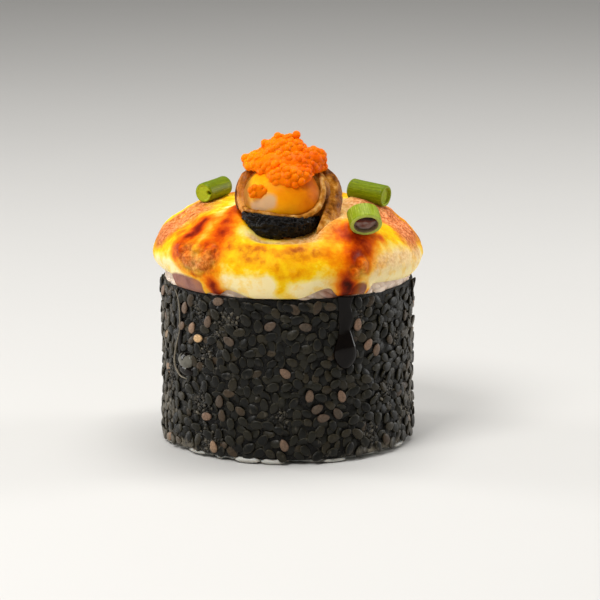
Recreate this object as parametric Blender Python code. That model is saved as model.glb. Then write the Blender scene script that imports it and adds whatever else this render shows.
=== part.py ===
"""A piece of mussel sushi roll that stands on its cut end.

A rice core wears a sleeve of pressed sesame seeds and a baked, domed cap. A
mussel sits in the front of the cap with fish roe heaped on it, and three cut
pieces of spring onion lie beside it. Units are metres, +Z is up, the front is
-Y, and the origin is under the middle of the roll, on the table.
"""

import math
import random

import bmesh
import bpy
from mathutils import Matrix, Vector, noise
from mathutils.bvhtree import BVHTree

MM = 0.001

# Clearance that a piece keeps from the one that it rests on.
CLEARANCE = 0.36 * MM
# Heights and radii closer than this count as equal.
TOUCH = 0.02 * MM
# Edges that bend more than this are creases and stay sharp.
CREASE_ANGLE = math.radians(44)
# Neighbouring faces that bend less than this are flat.
FLAT_ANGLE = math.radians(1.5)
# Edges shorter than this are left over from cutting.
SLIVER = 0.02 * MM

# The rice core.
RICE_RADIUS = 24.4 * MM
RICE_TOP = 36.0 * MM
RICE_FOOT_CHAMFER = 0.5 * MM
RICE_TOP_ROUNDING = 0.8 * MM
RICE_BUMP = 0.4 * MM
RICE_GRAIN = 2.2 * MM
RICE_SIDES = 72

# The sleeve of sesame seeds.
COAT_INNER_RADIUS = RICE_RADIUS + 0.55 * MM
COAT_OUTER_RADIUS = 25.7 * MM
COAT_WAIST = 0.25 * MM
COAT_BOTTOM = 0.9 * MM
COAT_TOP = 33.5 * MM
COAT_FOOT_ROUNDING = 0.45 * MM
COAT_FOOT_HEIGHT = 1.2 * MM
COAT_SIDES = 60
# A band of rice shows between the sleeve and the cap.
COLLAR_HEIGHT = COAT_TOP + 0.6 * MM
SEED_LENGTH = 2.8 * MM
SEED_WIDTH = 1.9 * MM
SEED_PROUD = 0.42 * MM
SEED_SUNK = 0.22 * MM
SEED_POINT = 0.4
SEED_SHOULDER = 0.72
SEED_SHOULDER_HEIGHT = 0.6 * SEED_PROUD
SEED_COUNT = 122
SEED_SIZES = (0.88, 1.15)
SEED_STRAY = 3
SEED_EDGE_ROOM = 0.6 * SEED_LENGTH
SEED_DRIP_ROOM = 0.7 * SEED_LENGTH
GOLDEN_ANGLE = math.pi * (3 - math.sqrt(5))

# Drops of sauce on the sleeve: angle from the front in degrees, height of the
# middle, and half-sizes around the roll, out of it and down it.
DRIPS = (
    (26.2, 28.4 * MM, (1.7 * MM, 0.75 * MM, 4.6 * MM)),
    (26.6, 22.8 * MM, (2.8 * MM, 1.05 * MM, 3.7 * MM)),
    (-57.5, 26.4 * MM, (0.9 * MM, 0.7 * MM, 6.6 * MM)),
    (-51.6, 18.6 * MM, (1.8 * MM, 0.95 * MM, 2.9 * MM)),
)
DRIP_SIDES = (12, 6)

# The baked cap: a dome over its brim, which curls in to a sagging lip.
BRIM_RADIUS = 27.2 * MM
BRIM_HEIGHT = 38.7 * MM
DOME_RISE = 10.1 * MM
DOME_POWER = 4.3
DOME_ROUNDING = 1 / 1.6
# Rings of the dome lie closer together towards the brim.
DOME_RINGS = 9
DOME_RING_SHIFT = 0.8
DOME_RING_SPREAD = 0.7
CAP_SIDES = 56
# Below the brim the cap curls in: how far in from the brim and how far down.
BRIM_CURL = ((0.25 * MM, 1.2 * MM), (0.8 * MM, 2.2 * MM))
LIP_RADIUS = 25.75 * MM
LIP_INNER_RADIUS = RICE_RADIUS + RICE_BUMP + 0.2 * MM
LIP_HEIGHT = 35.9 * MM
LIP_REACH = 1.6 * MM
# Where the lip sags: angle from the front in degrees, half-width, drop.
LIP_SAGS = (
    (0, 24, 2.05 * MM),
    (-30, 12, 0.6 * MM),
    (72, 26, 1.0 * MM),
    (130, 22, 0.9 * MM),
    (185, 25, 1.5 * MM),
    (245, 24, 0.7 * MM),
)
CAP_LUMP = 0.45 * MM
CAP_LUMP_SIZE = 9.0 * MM
# Lumps push out from the brim's middle, more upwards than sideways.
CAP_LUMP_LIFT = 1.6
# Blisters where the cap bubbled under the flame: angle from the front in
# degrees, distance from the middle, half-width, rise.
BLISTERS = (
    (-47, 26.3 * MM, 3.2 * MM, 0.9 * MM),
    (-56, 25.6 * MM, 2.6 * MM, 0.7 * MM),
    (28, 25.9 * MM, 2.8 * MM, 0.8 * MM),
    (96, 22.5 * MM, 2.6 * MM, 0.6 * MM),
    (-100, 22.0 * MM, 3.0 * MM, 0.6 * MM),
    (160, 23.5 * MM, 3.0 * MM, 0.6 * MM),
)
# Hollows that the toppings press into the cap: x, y, half-widths, depth.
DENTS = (
    (-0.5 * MM, -14.0 * MM, 11.0 * MM, 9.0 * MM, 3.0 * MM),
    (14.8 * MM, 1.8 * MM, 5.0 * MM, 4.5 * MM, 0.6 * MM),
    (-15.0 * MM, 2.8 * MM, 4.5 * MM, 4.0 * MM, 0.3 * MM),
)
DENT_FLOOR = 0.7
DENT_SLOPE = 0.3
# The right side slumps: angle from the front, half-width, drop at the brim.
SLUMP = (82, 55, 0.9 * MM)

# The mussel: a round belly between two folds of mantle, over a dark frill.
BACK_CENTRE = Vector((0.2, -9.6, 50.2)) * MM
BACK_RADII = Vector((9.5, 8.6, 7.4)) * MM
BELLY_CENTRE = Vector((-0.9, -12.7, 51.7)) * MM
BELLY_RADII = Vector((7.9, 6.9, 6.3)) * MM
FLESH_SIDES = (20, 12)
# A fold is a path of points in millimetres, with the flesh's radius at each.
RIGHT_FOLD = (
    ((6.2, -8.6, 57.2), 0.8),
    ((8.0, -9.0, 55.3), 1.7),
    ((8.9, -9.6, 52.9), 2.1),
    ((9.0, -10.6, 50.7), 2.0),
    ((8.2, -12.6, 48.7), 1.8),
    ((6.3, -15.3, 47.0), 1.5),
    ((3.8, -17.6, 45.9), 1.1),
    ((1.4, -18.6, 45.1), 0.5),
)
LEFT_FOLD = (
    ((-7.1, -8.6, 56.6), 0.8),
    ((-8.6, -8.9, 54.9), 1.3),
    ((-9.4, -9.6, 53.0), 1.3),
    ((-9.7, -10.3, 51.2), 1.1),
    ((-9.6, -11.2, 49.0), 0.9),
)
FRILL = (
    ((-8.0, -14.4, 48.4), 0.6),
    ((-6.3, -16.4, 46.9), 1.6),
    ((-3.3, -17.6, 46.3), 2.2),
    ((0.0, -17.8, 46.2), 2.3),
    ((2.9, -17.3, 46.5), 1.7),
    ((5.0, -16.0, 47.3), 0.6),
)

# Fish roe, heaped on the mussel and in a small clump lower down. A core is an
# ellipsoid's centre and radii in millimetres.
EGG_RADIUS = 1.0 * MM
EGG_SPACING = 2.05 * MM
EGG_NEAREST = 0.8 * EGG_SPACING
EGG_SIZES = (0.88, 1.06)
EGG_STRAY = 0.1
# How far an egg's middle stands out from the core, in egg radii.
EGG_LIFTS = (0.15, 0.5)
EGG_CORE_SIDES = (12, 7)
EGG_CORE_GAP = 0.8 * EGG_RADIUS
HEAP_CORES = (
    ((-0.5, -10.2, 57.2), (8.4, 6.5, 4.2)),
    ((-0.6, -9.6, 59.8), (4.8, 4.6, 3.6)),
    ((0.4, -15.0, 55.8), (5.5, 3.8, 3.2)),
)
CLUMP_CORES = (((-5.7, -18.7, 54.0), (1.6, 0.9, 1.3)),)

# Spring onion. Each piece is a length of stem: middle in millimetres, the way
# that its end faces, length and radius.
STEM_WALL = 0.5 * MM
STEM_SOFTNESS = 0.28
STEM_SIDES = 18
RING_SIDES = 26
BORE_SIDES = 10
ONION_LEFT = ((-14.9, 2.7, 50.5), (-0.78, -0.60, -0.19), 7.0 * MM, 2.0 * MM)
ONION_BACK = ((16.4, 1.0, 50.1), (0.84, -0.53, -0.09), 8.3 * MM, 2.2 * MM)
ONION_FRONT = ((15.2, -18.2, 48.3), (0.17, -0.82, -0.54), 3.7 * MM, 3.3 * MM)
BORE_RADIUS = 0.45 * MM
BORE_DEPTH = 2.0 * MM
BORE_OFFSET = Vector((0.75, 0.35, 0.0)) * MM
DISH_DEPTH = 0.5 * MM
RING_SQUASH = 0.84
RING_LEAN = math.radians(-8)


def clear_scene():
    for obj in list(bpy.data.objects):
        bpy.data.objects.remove(obj, do_unlink=True)


def make_material(name, colour, roughness):
    made = bpy.data.materials.new(name)
    made.use_nodes = True
    shader = made.node_tree.nodes["Principled BSDF"]
    shader.inputs["Base Color"].default_value = (*colour, 1.0)
    shader.inputs["Roughness"].default_value = roughness
    shader.inputs["Metallic"].default_value = 0.0
    return made


def add_object(name, bm, finish, frame=None):
    """Makes an object of the bmesh and places it as the frame says."""
    bm.normal_update()
    bmesh.ops.recalc_face_normals(bm, faces=bm.faces)
    mesh = bpy.data.meshes.new(name)
    bm.to_mesh(mesh)
    bm.free()
    mesh.materials.append(finish)
    mesh.shade_smooth()
    obj = bpy.data.objects.new(name, mesh)
    bpy.context.scene.collection.objects.link(obj)
    if frame:
        obj.matrix_world = frame
    return obj


def apply_modifiers(obj):
    bpy.context.view_layer.update()
    graph = bpy.context.evaluated_depsgraph_get()
    mesh = bpy.data.meshes.new_from_object(obj.evaluated_get(graph))
    obj.modifiers.clear()
    obj.data = mesh


def fuse(body, pieces, solver="EXACT"):
    """Joins the pieces to the body with one Boolean union and removes them."""
    group = bpy.data.collections.new(body.name + "_pieces")
    bpy.context.scene.collection.children.link(group)
    for piece in pieces:
        bpy.context.scene.collection.objects.unlink(piece)
        group.objects.link(piece)
    union = body.modifiers.new("fuse", "BOOLEAN")
    union.operation = "UNION"
    union.operand_type = "COLLECTION"
    union.collection = group
    union.solver = solver
    apply_modifiers(body)
    for piece in list(group.objects):
        bpy.data.objects.remove(piece, do_unlink=True)
    bpy.data.collections.remove(group)


def subtract(obj, cutter, solver="EXACT"):
    """Cuts the cutter out of the object and removes the cutter."""
    cut = obj.modifiers.new("cut", "BOOLEAN")
    cut.operation = "DIFFERENCE"
    cut.object = cutter
    cut.solver = solver
    apply_modifiers(obj)
    bpy.data.objects.remove(cutter, do_unlink=True)


def fit_against(obj, neighbour, margin=CLEARANCE):
    """Cuts the object back until it clears the neighbour by the margin.

    The neighbour's grown copy has thin walls that EXACT can't solve.
    """
    grown = bpy.data.objects.new(neighbour.name + "_grown", neighbour.data.copy())
    bpy.context.scene.collection.objects.link(grown)
    grown.matrix_world = neighbour.matrix_world
    swell = grown.modifiers.new("swell", "DISPLACE")
    swell.strength = margin
    swell.mid_level = 0.0
    apply_modifiers(grown)
    subtract(obj, grown, solver="MANIFOLD")
    keep_largest_body(obj)


def islands_of(bm):
    """Lists of the vertices that hang together."""
    seen = set()
    islands = []
    for start in bm.verts:
        if start in seen:
            continue
        seen.add(start)
        island = [start]
        for vert in island:
            for edge in vert.link_edges:
                other = edge.other_vert(vert)
                if other not in seen:
                    seen.add(other)
                    island.append(other)
        islands.append(island)
    return islands


def keep_largest_body(obj):
    """Drops loose scraps, and fills hollows that fusing has sealed."""
    bm = bmesh.new()
    bm.from_mesh(obj.data)
    islands = sorted(islands_of(bm), key=len)
    for island in islands[:-1]:
        bmesh.ops.delete(bm, geom=island, context="VERTS")
    bm.to_mesh(obj.data)
    bm.free()


def clean_surface(obj):
    """Merges faces that a Boolean split without bending them, and closes slivers."""
    bm = bmesh.new()
    bm.from_mesh(obj.data)
    bmesh.ops.dissolve_limit(bm, angle_limit=FLAT_ANGLE, verts=bm.verts, edges=bm.edges)
    bmesh.ops.triangulate(bm, faces=bm.faces)
    bmesh.ops.dissolve_degenerate(bm, dist=SLIVER, edges=bm.edges)
    bm.to_mesh(obj.data)
    bm.free()


def turned(profile, steps, closed=False):
    """A bmesh of the (radius, height) profile turned about Z."""
    bm = bmesh.new()
    verts = [bm.verts.new((radius, 0.0, height)) for radius, height in profile]
    pairs = list(zip(verts, verts[1:]))
    if closed:
        pairs.append((verts[-1], verts[0]))
    edges = [bm.edges.new(pair) for pair in pairs]
    bmesh.ops.spin(
        bm,
        geom=verts + edges,
        cent=(0, 0, 0),
        axis=(0, 0, 1),
        angle=math.tau,
        steps=steps,
        use_merge=True,
    )
    bmesh.ops.remove_doubles(bm, verts=bm.verts, dist=1e-6)
    return bm


def ball(radii, sides):
    """A bmesh of a UV sphere with the given half-sizes."""
    around, up = sides
    bm = bmesh.new()
    bmesh.ops.create_uvsphere(bm, u_segments=around, v_segments=up, radius=1.0)
    bmesh.ops.scale(bm, vec=radii, verts=bm.verts)
    return bm


def angle_from_front(x, y):
    """Degrees round the roll from the front (-Y), positive towards +X."""
    return math.degrees(math.atan2(x, -y))


def turn_between(a, b):
    """The smaller turn between two directions, in degrees."""
    return abs((a - b + 180) % 360 - 180)


def outward(angle):
    """The level direction at that angle from the front."""
    turn = math.radians(angle)
    return Vector((math.sin(turn), -math.cos(turn), 0.0))


def bell(distance, width):
    """1 in the middle, falling smoothly to almost 0 at twice the width."""
    return math.exp(-((distance / width) ** 2))


def wall_frame(angle, height):
    """Placement on the sleeve: X around it, Y up it, Z out of it."""
    out = outward(angle)
    around = outward(angle + 90)
    frame = Matrix((around, Vector((0, 0, 1)), out)).transposed().to_4x4()
    frame.translation = out * coat_radius(height) + Vector((0, 0, height))
    return frame


def build_rice(finish):
    profile = (
        (0.0, 0.0),
        (RICE_RADIUS - RICE_FOOT_CHAMFER, 0.0),
        (RICE_RADIUS, RICE_FOOT_CHAMFER),
        (RICE_RADIUS, COLLAR_HEIGHT),
        (RICE_RADIUS, RICE_TOP - RICE_TOP_ROUNDING * 0.6),
        (RICE_RADIUS - RICE_TOP_ROUNDING, RICE_TOP),
        (0.0, RICE_TOP),
    )
    bm = turned(profile, RICE_SIDES)
    for vert in bm.verts:
        radius = vert.co.xy.length
        if radius > RICE_RADIUS / 2:
            bumped = radius + RICE_BUMP * noise.noise(vert.co / RICE_GRAIN)
            vert.co.xy *= bumped / radius
    return add_object("rice_core", bm, finish)


def coat_radius(height):
    """The sleeve is slightly waisted between its foot and its top."""
    share = (height - COAT_BOTTOM) / (COAT_TOP - COAT_BOTTOM)
    return COAT_OUTER_RADIUS - COAT_WAIST * math.sin(math.pi * share)


def sesame_seed(size):
    """The half of a flat seed that shows, drawn to a point at one end."""
    bm = bmesh.new()
    bmesh.ops.create_circle(bm, cap_ends=True, segments=6, radius=0.5)
    for vert in bm.verts:
        vert.co.y *= 1.0 - SEED_POINT * vert.co.x
    bmesh.ops.scale(bm, vec=(SEED_LENGTH * size, SEED_WIDTH * size, 1.0), verts=bm.verts)
    bmesh.ops.translate(bm, vec=(0, 0, -SEED_SUNK), verts=bm.verts)
    raised = bmesh.ops.extrude_face_region(bm, geom=bm.faces[:])["geom"]
    shoulder = [item for item in raised if isinstance(item, bmesh.types.BMVert)]
    lid = [item for item in raised if isinstance(item, bmesh.types.BMFace)]
    bmesh.ops.translate(bm, vec=(0, 0, SEED_SUNK + SEED_SHOULDER_HEIGHT), verts=shoulder)
    bmesh.ops.scale(bm, vec=(SEED_SHOULDER, SEED_SHOULDER, 1.0), verts=shoulder)
    crown = bmesh.ops.poke(bm, faces=lid)["verts"]
    bmesh.ops.translate(bm, vec=(0, 0, SEED_PROUD - SEED_SHOULDER_HEIGHT), verts=crown)
    return bm


def clear_of_drips(angle, height):
    for drip_angle, drip_height, (around, _, down) in DRIPS:
        aside = math.radians(turn_between(angle, drip_angle)) * COAT_OUTER_RADIUS
        below = height - drip_height
        wide = around + SEED_DRIP_ROOM
        if math.hypot(aside / wide, below / (down + SEED_DRIP_ROOM)) < 1:
            return False
    return True


def build_coat(finish, rng):
    middle = (COAT_BOTTOM + COAT_TOP) / 2
    foot = COAT_BOTTOM + COAT_FOOT_HEIGHT
    profile = (
        (COAT_INNER_RADIUS, COAT_BOTTOM),
        (coat_radius(COAT_BOTTOM) - COAT_FOOT_ROUNDING, COAT_BOTTOM),
        (coat_radius(foot), foot),
        (coat_radius(middle), middle),
        (coat_radius(COAT_TOP), COAT_TOP),
        (COAT_INNER_RADIUS, COAT_TOP),
    )
    coat = add_object("sesame_coat", turned(profile, COAT_SIDES, closed=True), finish)
    pieces = []
    lowest = COAT_BOTTOM + SEED_EDGE_ROOM
    span = COAT_TOP - SEED_EDGE_ROOM - lowest
    for index in range(SEED_COUNT):
        angle = math.degrees(index * GOLDEN_ANGLE) + rng.uniform(-SEED_STRAY, SEED_STRAY)
        height = lowest + span * (index + rng.random()) / SEED_COUNT
        turn = Matrix.Rotation(rng.uniform(0, math.tau), 4, "Z")
        size = rng.uniform(*SEED_SIZES)
        if clear_of_drips(angle, height):
            frame = wall_frame(angle, height) @ turn
            pieces.append(add_object(f"seed_{index}", sesame_seed(size), finish, frame))
    for index, (angle, height, (around, out, down)) in enumerate(DRIPS):
        drop = ball((around, down, out), DRIP_SIDES)
        pieces.append(add_object(f"drip_{index}", drop, finish, wall_frame(angle, height)))
    # EXACT takes minutes over this many pieces.
    fuse(coat, pieces, solver="MANIFOLD")
    clean_surface(coat)
    return coat


def lip_sag(angle):
    return sum(drop * bell(turn_between(angle, at), width) for at, width, drop in LIP_SAGS)


def dome_height(radius):
    share = min(radius / BRIM_RADIUS, 1.0)
    return BRIM_HEIGHT + DOME_RISE * (1 - share**DOME_POWER) ** DOME_ROUNDING


def cap_drop(x, y):
    """How far the cap is pressed in, or has slumped, at a point."""
    drop = 0.0
    for at_x, at_y, wide, deep, depth in DENTS:
        away = math.hypot((x - at_x) / wide, (y - at_y) / deep)
        drop += depth * bell(max(away - DENT_FLOOR, 0.0), DENT_SLOPE)
    at, width, depth = SLUMP
    side = bell(turn_between(angle_from_front(x, y), at), width)
    return drop + depth * side * (math.hypot(x, y) / BRIM_RADIUS) ** 2


def cap_profile():
    """Half of the cap's section, from the top of the dome to its underside."""
    dome = []
    for ring in range(DOME_RINGS):
        swing = (ring / DOME_RINGS) ** DOME_RING_SHIFT * math.pi / 2
        radius = BRIM_RADIUS * math.sin(swing) ** DOME_RING_SPREAD
        dome.append((radius, dome_height(radius)))
    underside = RICE_TOP + CLEARANCE
    return [
        *dome,
        (BRIM_RADIUS, BRIM_HEIGHT),
        *((BRIM_RADIUS - inward, BRIM_HEIGHT - down) for inward, down in BRIM_CURL),
        (LIP_RADIUS, LIP_HEIGHT),
        (LIP_INNER_RADIUS, LIP_HEIGHT),
        (LIP_INNER_RADIUS, underside),
        (0.0, underside),
    ]


def cap_swell(point):
    """How far the baked surface stands out at a point."""
    swell = CAP_LUMP * noise.noise(point / CAP_LUMP_SIZE)
    for angle, distance, width, rise in BLISTERS:
        spot = outward(angle) * distance
        spot.z = dome_height(distance)
        swell += rise * bell((point - spot).length, width)
    return swell


def build_cap(finish):
    bm = turned(cap_profile(), CAP_SIDES)
    underside = RICE_TOP + CLEARANCE + TOUCH
    for vert in bm.verts:
        place = vert.co.copy()
        inside = place.xy.length < LIP_INNER_RADIUS + TOUCH
        if inside and LIP_HEIGHT + TOUCH < place.z < underside:
            continue
        # Near the lip the shape follows the sags, and above it the lumps.
        hang = 1.0 if inside and place.z < underside else bell(place.z - LIP_HEIGHT, LIP_REACH)
        away = Vector((place.x, place.y, (place.z - BRIM_HEIGHT) * CAP_LUMP_LIFT)).normalized()
        vert.co += away * cap_swell(place) * (1 - hang)
        vert.co.z -= cap_drop(place.x, place.y) * (1 - hang)
        vert.co.z -= lip_sag(angle_from_front(place.x, place.y)) * hang
    return add_object("baked_cap", bm, finish)


def flesh_fold(name, path, finish):
    """A round fold of flesh that follows a path and tapers to its ends."""
    curve = bpy.data.curves.new(name, "CURVE")
    curve.dimensions = "3D"
    curve.bevel_depth = MM
    curve.bevel_resolution = 2
    curve.resolution_u = 3
    curve.use_fill_caps = True
    spline = curve.splines.new("NURBS")
    spline.points.add(len(path) - 1)
    for point, (place, radius) in zip(spline.points, path):
        point.co = (*(Vector(place) * MM), 1.0)
        point.radius = radius
    spline.order_u = 3
    spline.use_endpoint_u = True
    guide = bpy.data.objects.new(name, curve)
    bpy.context.scene.collection.objects.link(guide)
    bpy.context.view_layer.update()
    graph = bpy.context.evaluated_depsgraph_get()
    bm = bmesh.new()
    bm.from_mesh(guide.evaluated_get(graph).to_mesh())
    bpy.data.objects.remove(guide, do_unlink=True)
    bmesh.ops.remove_doubles(bm, verts=bm.verts, dist=1e-6)
    return add_object(name, bm, finish)


def build_mussel(finish, cap):
    back = ball(BACK_RADII, FLESH_SIDES)
    mussel = add_object("mussel", back, finish, Matrix.Translation(BACK_CENTRE))
    belly = ball(BELLY_RADII, FLESH_SIDES)
    parts = [
        add_object("belly", belly, finish, Matrix.Translation(BELLY_CENTRE)),
        flesh_fold("right_fold", RIGHT_FOLD, finish),
        flesh_fold("left_fold", LEFT_FOLD, finish),
        flesh_fold("frill", FRILL, finish),
    ]
    fuse(mussel, parts)
    fit_against(mussel, cap)
    clean_surface(mussel)
    return mussel


def depth_in(point, centre, radii):
    """0 at the ellipsoid's centre, 1 on its surface."""
    return Vector((p - c) / r for p, c, r in zip(point, centre, radii)).length


def points_on(cores, rng):
    """Points and normals spread evenly over the outside of joined ellipsoids."""
    found = []
    # Each egg takes a hexagon of the surface.
    room = EGG_SPACING**2 * math.sqrt(3) / 2
    for core in cores:
        centre, radii = core
        a, b, c = radii
        area = 4 * math.pi * (a * b + a * c + b * c) / 3
        count = round(area / room)
        for index in range(count):
            up = 1 - 2 * (index + 0.5) / count
            level = math.sqrt(1 - up * up)
            turn = index * GOLDEN_ANGLE + rng.uniform(-EGG_STRAY, EGG_STRAY)
            way = Vector((math.cos(turn) * level, math.sin(turn) * level, up))
            point = centre + way * radii
            hidden = any(depth_in(point, *other) < 1 for other in cores if other != core)
            near = any((point - place).length < EGG_NEAREST for place, _ in found)
            if not hidden and not near:
                slope = Vector(w / r for w, r in zip(way, radii))
                found.append((point, slope.normalized()))
    return found


def surface_of(obj):
    bm = bmesh.new()
    bm.from_mesh(obj.data)
    bm.transform(obj.matrix_world)
    surface = BVHTree.FromBMesh(bm)
    bm.free()
    return surface


def meets(surface, centre, room):
    """Whether a ball of that size touches the surface or lies behind it."""
    point, normal, _, distance = surface.find_nearest(centre)
    return distance < room or (centre - point).dot(normal) < 0


def build_roe(name, cores, neighbours, finish, rng):
    """A heap of roe: a smooth core with the eggs that show fused on to it."""
    cores = [(Vector(centre) * MM, Vector(radii) * MM) for centre, radii in cores]
    lobes = [
        add_object(name, ball(radii, EGG_CORE_SIDES), finish, Matrix.Translation(centre))
        for centre, radii in cores
    ]
    heap = lobes[0]
    if lobes[1:]:
        fuse(heap, lobes[1:])
    # The core stays further back than the eggs, which show at its lower edge.
    for neighbour in neighbours:
        fit_against(heap, neighbour, EGG_CORE_GAP)
    surfaces = [surface_of(neighbour) for neighbour in neighbours]
    eggs = []
    for point, normal in points_on(cores, rng):
        radius = EGG_RADIUS * rng.uniform(*EGG_SIZES)
        centre = point + normal * EGG_RADIUS * rng.uniform(*EGG_LIFTS)
        turn = Matrix.Rotation(rng.uniform(0, math.tau), 4, normal)
        if any(meets(surface, centre, radius + CLEARANCE) for surface in surfaces):
            continue
        egg = bmesh.new()
        bmesh.ops.create_icosphere(egg, subdivisions=1, radius=radius)
        frame = Matrix.Translation(centre) @ turn
        eggs.append(add_object(f"egg_{len(eggs)}", egg, finish, frame))
    fuse(heap, eggs, solver="MANIFOLD")
    keep_largest_body(heap)
    clean_surface(heap)
    return heap


def stem_frame(middle, facing):
    """Placement of a stem: its middle, with local Z along it."""
    frame = Vector(facing).to_track_quat("Z", "Y").to_matrix().to_4x4()
    frame.translation = Vector(middle) * MM
    return frame


def stem_profile(length, radius, dish):
    """Half of a solid stem's section, with soft ends and a dish in the top."""
    half = length / 2
    soft = radius * STEM_SOFTNESS
    rim = radius - STEM_WALL
    return (
        (0.0, -half),
        (radius - soft, -half),
        (radius, -half + soft),
        (radius, half - soft / 2),
        (radius - soft / 2, half),
        (rim, half),
        (rim - dish / 2, half - dish),
        (0.0, half - dish),
    )


def build_onion_left(finish, cap):
    """A thick length whose bore is almost closed and off its middle."""
    middle, facing, length, radius = ONION_LEFT
    frame = stem_frame(middle, facing)
    profile = stem_profile(length, radius, DISH_DEPTH / 5)
    stem = add_object("spring_onion_left", turned(profile, STEM_SIDES), finish, frame)
    bore_profile = (
        (0.0, -BORE_DEPTH),
        (BORE_RADIUS, -BORE_DEPTH),
        (BORE_RADIUS, BORE_DEPTH),
        (0.0, BORE_DEPTH),
    )
    mouth = frame @ Matrix.Translation(BORE_OFFSET + Vector((0, 0, length / 2)))
    subtract(stem, add_object("bore", turned(bore_profile, BORE_SIDES), finish, mouth))
    fit_against(stem, cap)
    return stem


def build_onion_back(finish, cap):
    middle, facing, length, radius = ONION_BACK
    profile = stem_profile(length, radius, DISH_DEPTH)
    frame = stem_frame(middle, facing)
    stem = add_object("spring_onion_back", turned(profile, STEM_SIDES), finish, frame)
    fit_against(stem, cap)
    return stem


def build_onion_front(finish, cap):
    """A squashed ring that lies on the slope with its bore to the front."""
    middle, facing, length, radius = ONION_FRONT
    half = length / 2
    inner = radius - STEM_WALL
    soft = STEM_WALL / 5
    profile = (
        (inner, -half),
        (radius - soft, -half),
        (radius, -half + soft),
        (radius, half - soft),
        (radius - soft, half),
        (inner, half),
    )
    ring = turned(profile, RING_SIDES, closed=True)
    bmesh.ops.scale(ring, vec=(1.0, RING_SQUASH, 1.0), verts=ring.verts)
    frame = stem_frame(middle, facing) @ Matrix.Rotation(RING_LEAN, 4, "Z")
    stem = add_object("spring_onion_front", ring, finish, frame)
    fit_against(stem, cap)
    return stem


def build():
    clear_scene()
    rng = random.Random(4107)
    rice = make_material("sushi_rice", (0.70, 0.62, 0.52), 0.45)
    sesame = make_material("black_sesame", (0.020, 0.018, 0.014), 0.42)
    crust = make_material("baked_crust", (0.91, 0.52, 0.05), 0.38)
    flesh = make_material("mussel_flesh", (0.60, 0.23, 0.02), 0.28)
    roe = make_material("fish_roe", (0.95, 0.20, 0.005), 0.18)
    onion = make_material("spring_onion", (0.20, 0.25, 0.01), 0.40)

    nodes = [build_rice(rice), build_coat(sesame, rng)]
    cap = build_cap(crust)
    mussel = build_mussel(flesh, cap)
    heap = build_roe("roe_heap", HEAP_CORES, (mussel,), roe, rng)
    clump = build_roe("roe_clump", CLUMP_CORES, (mussel, heap), roe, rng)
    nodes += [cap, mussel, heap, clump]
    nodes += [build_onion_left(onion, cap), build_onion_back(onion, cap)]
    nodes.append(build_onion_front(onion, cap))

    roll = bpy.data.objects.new("sushi_roll", None)
    bpy.context.scene.collection.objects.link(roll)
    for node in nodes:
        node.parent = roll
        node.data.shade_smooth()
        node.data.set_sharp_from_angle(angle=CREASE_ANGLE)


build()
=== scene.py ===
import math
import random

import bmesh
import bpy
import numpy as np
from mathutils import Matrix, Vector, noise


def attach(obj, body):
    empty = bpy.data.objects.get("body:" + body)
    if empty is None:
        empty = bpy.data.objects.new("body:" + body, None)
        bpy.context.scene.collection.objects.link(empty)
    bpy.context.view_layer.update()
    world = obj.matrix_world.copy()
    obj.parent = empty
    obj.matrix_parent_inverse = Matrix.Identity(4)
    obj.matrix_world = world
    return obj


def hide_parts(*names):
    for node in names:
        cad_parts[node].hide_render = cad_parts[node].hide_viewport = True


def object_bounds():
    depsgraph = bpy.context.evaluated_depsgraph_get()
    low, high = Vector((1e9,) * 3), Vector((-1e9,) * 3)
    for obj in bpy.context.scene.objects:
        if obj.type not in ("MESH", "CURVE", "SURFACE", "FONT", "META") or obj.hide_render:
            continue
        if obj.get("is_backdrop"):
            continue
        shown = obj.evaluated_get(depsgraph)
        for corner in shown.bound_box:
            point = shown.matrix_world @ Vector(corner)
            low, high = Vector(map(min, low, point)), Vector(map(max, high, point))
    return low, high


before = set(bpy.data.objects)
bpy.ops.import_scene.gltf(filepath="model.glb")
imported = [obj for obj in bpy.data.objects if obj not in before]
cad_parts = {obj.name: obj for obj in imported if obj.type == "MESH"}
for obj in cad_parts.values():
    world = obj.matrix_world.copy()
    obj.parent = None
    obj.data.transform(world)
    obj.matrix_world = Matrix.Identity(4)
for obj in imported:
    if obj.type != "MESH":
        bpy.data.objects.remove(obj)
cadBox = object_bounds()
mm = 0.001
print("Frame:", len(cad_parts), "nodes")

# Lengths are in millimetres. An angle is in degrees round the roll, 0 at the front (-Y)
# and growing towards +X, and a place is (x, y, z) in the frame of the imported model.


# Numbers and paths

def outward(angle):
    turn = math.radians(angle)
    return Vector((math.sin(turn), -math.cos(turn), 0.0))


def anglesOf(points):
    return np.degrees(np.arctan2(points[:, 0], -points[:, 1]))


def turnBetween(a, b):
    return abs((a - b + 180) % 360 - 180)


def bell(distance, width):
    return np.exp(-((distance / width) ** 2))


def ramp(values, low, high):
    share = np.clip((values - low) / (high - low), 0, 1)
    return share * share * (3 - 2 * share)


def lumps(points, size, shift=0.0):
    # Smooth noise from -1 to 1 at each point, with lumps of about that size.
    return np.array([noise.noise(point) for point in (points / size + shift).tolist()])


def evenPath(path, count):
    # The same line with that many rows, equally far apart. Further columns go along.
    rows = np.array(path, float)
    steps = np.linalg.norm(np.diff(rows[:, :3], axis=0), axis=1)
    along = np.concatenate(([0.0], np.cumsum(steps)))
    wanted = np.linspace(0, along[-1], count)
    return np.stack([np.interp(wanted, along, column) for column in rows.T], axis=1)


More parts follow.
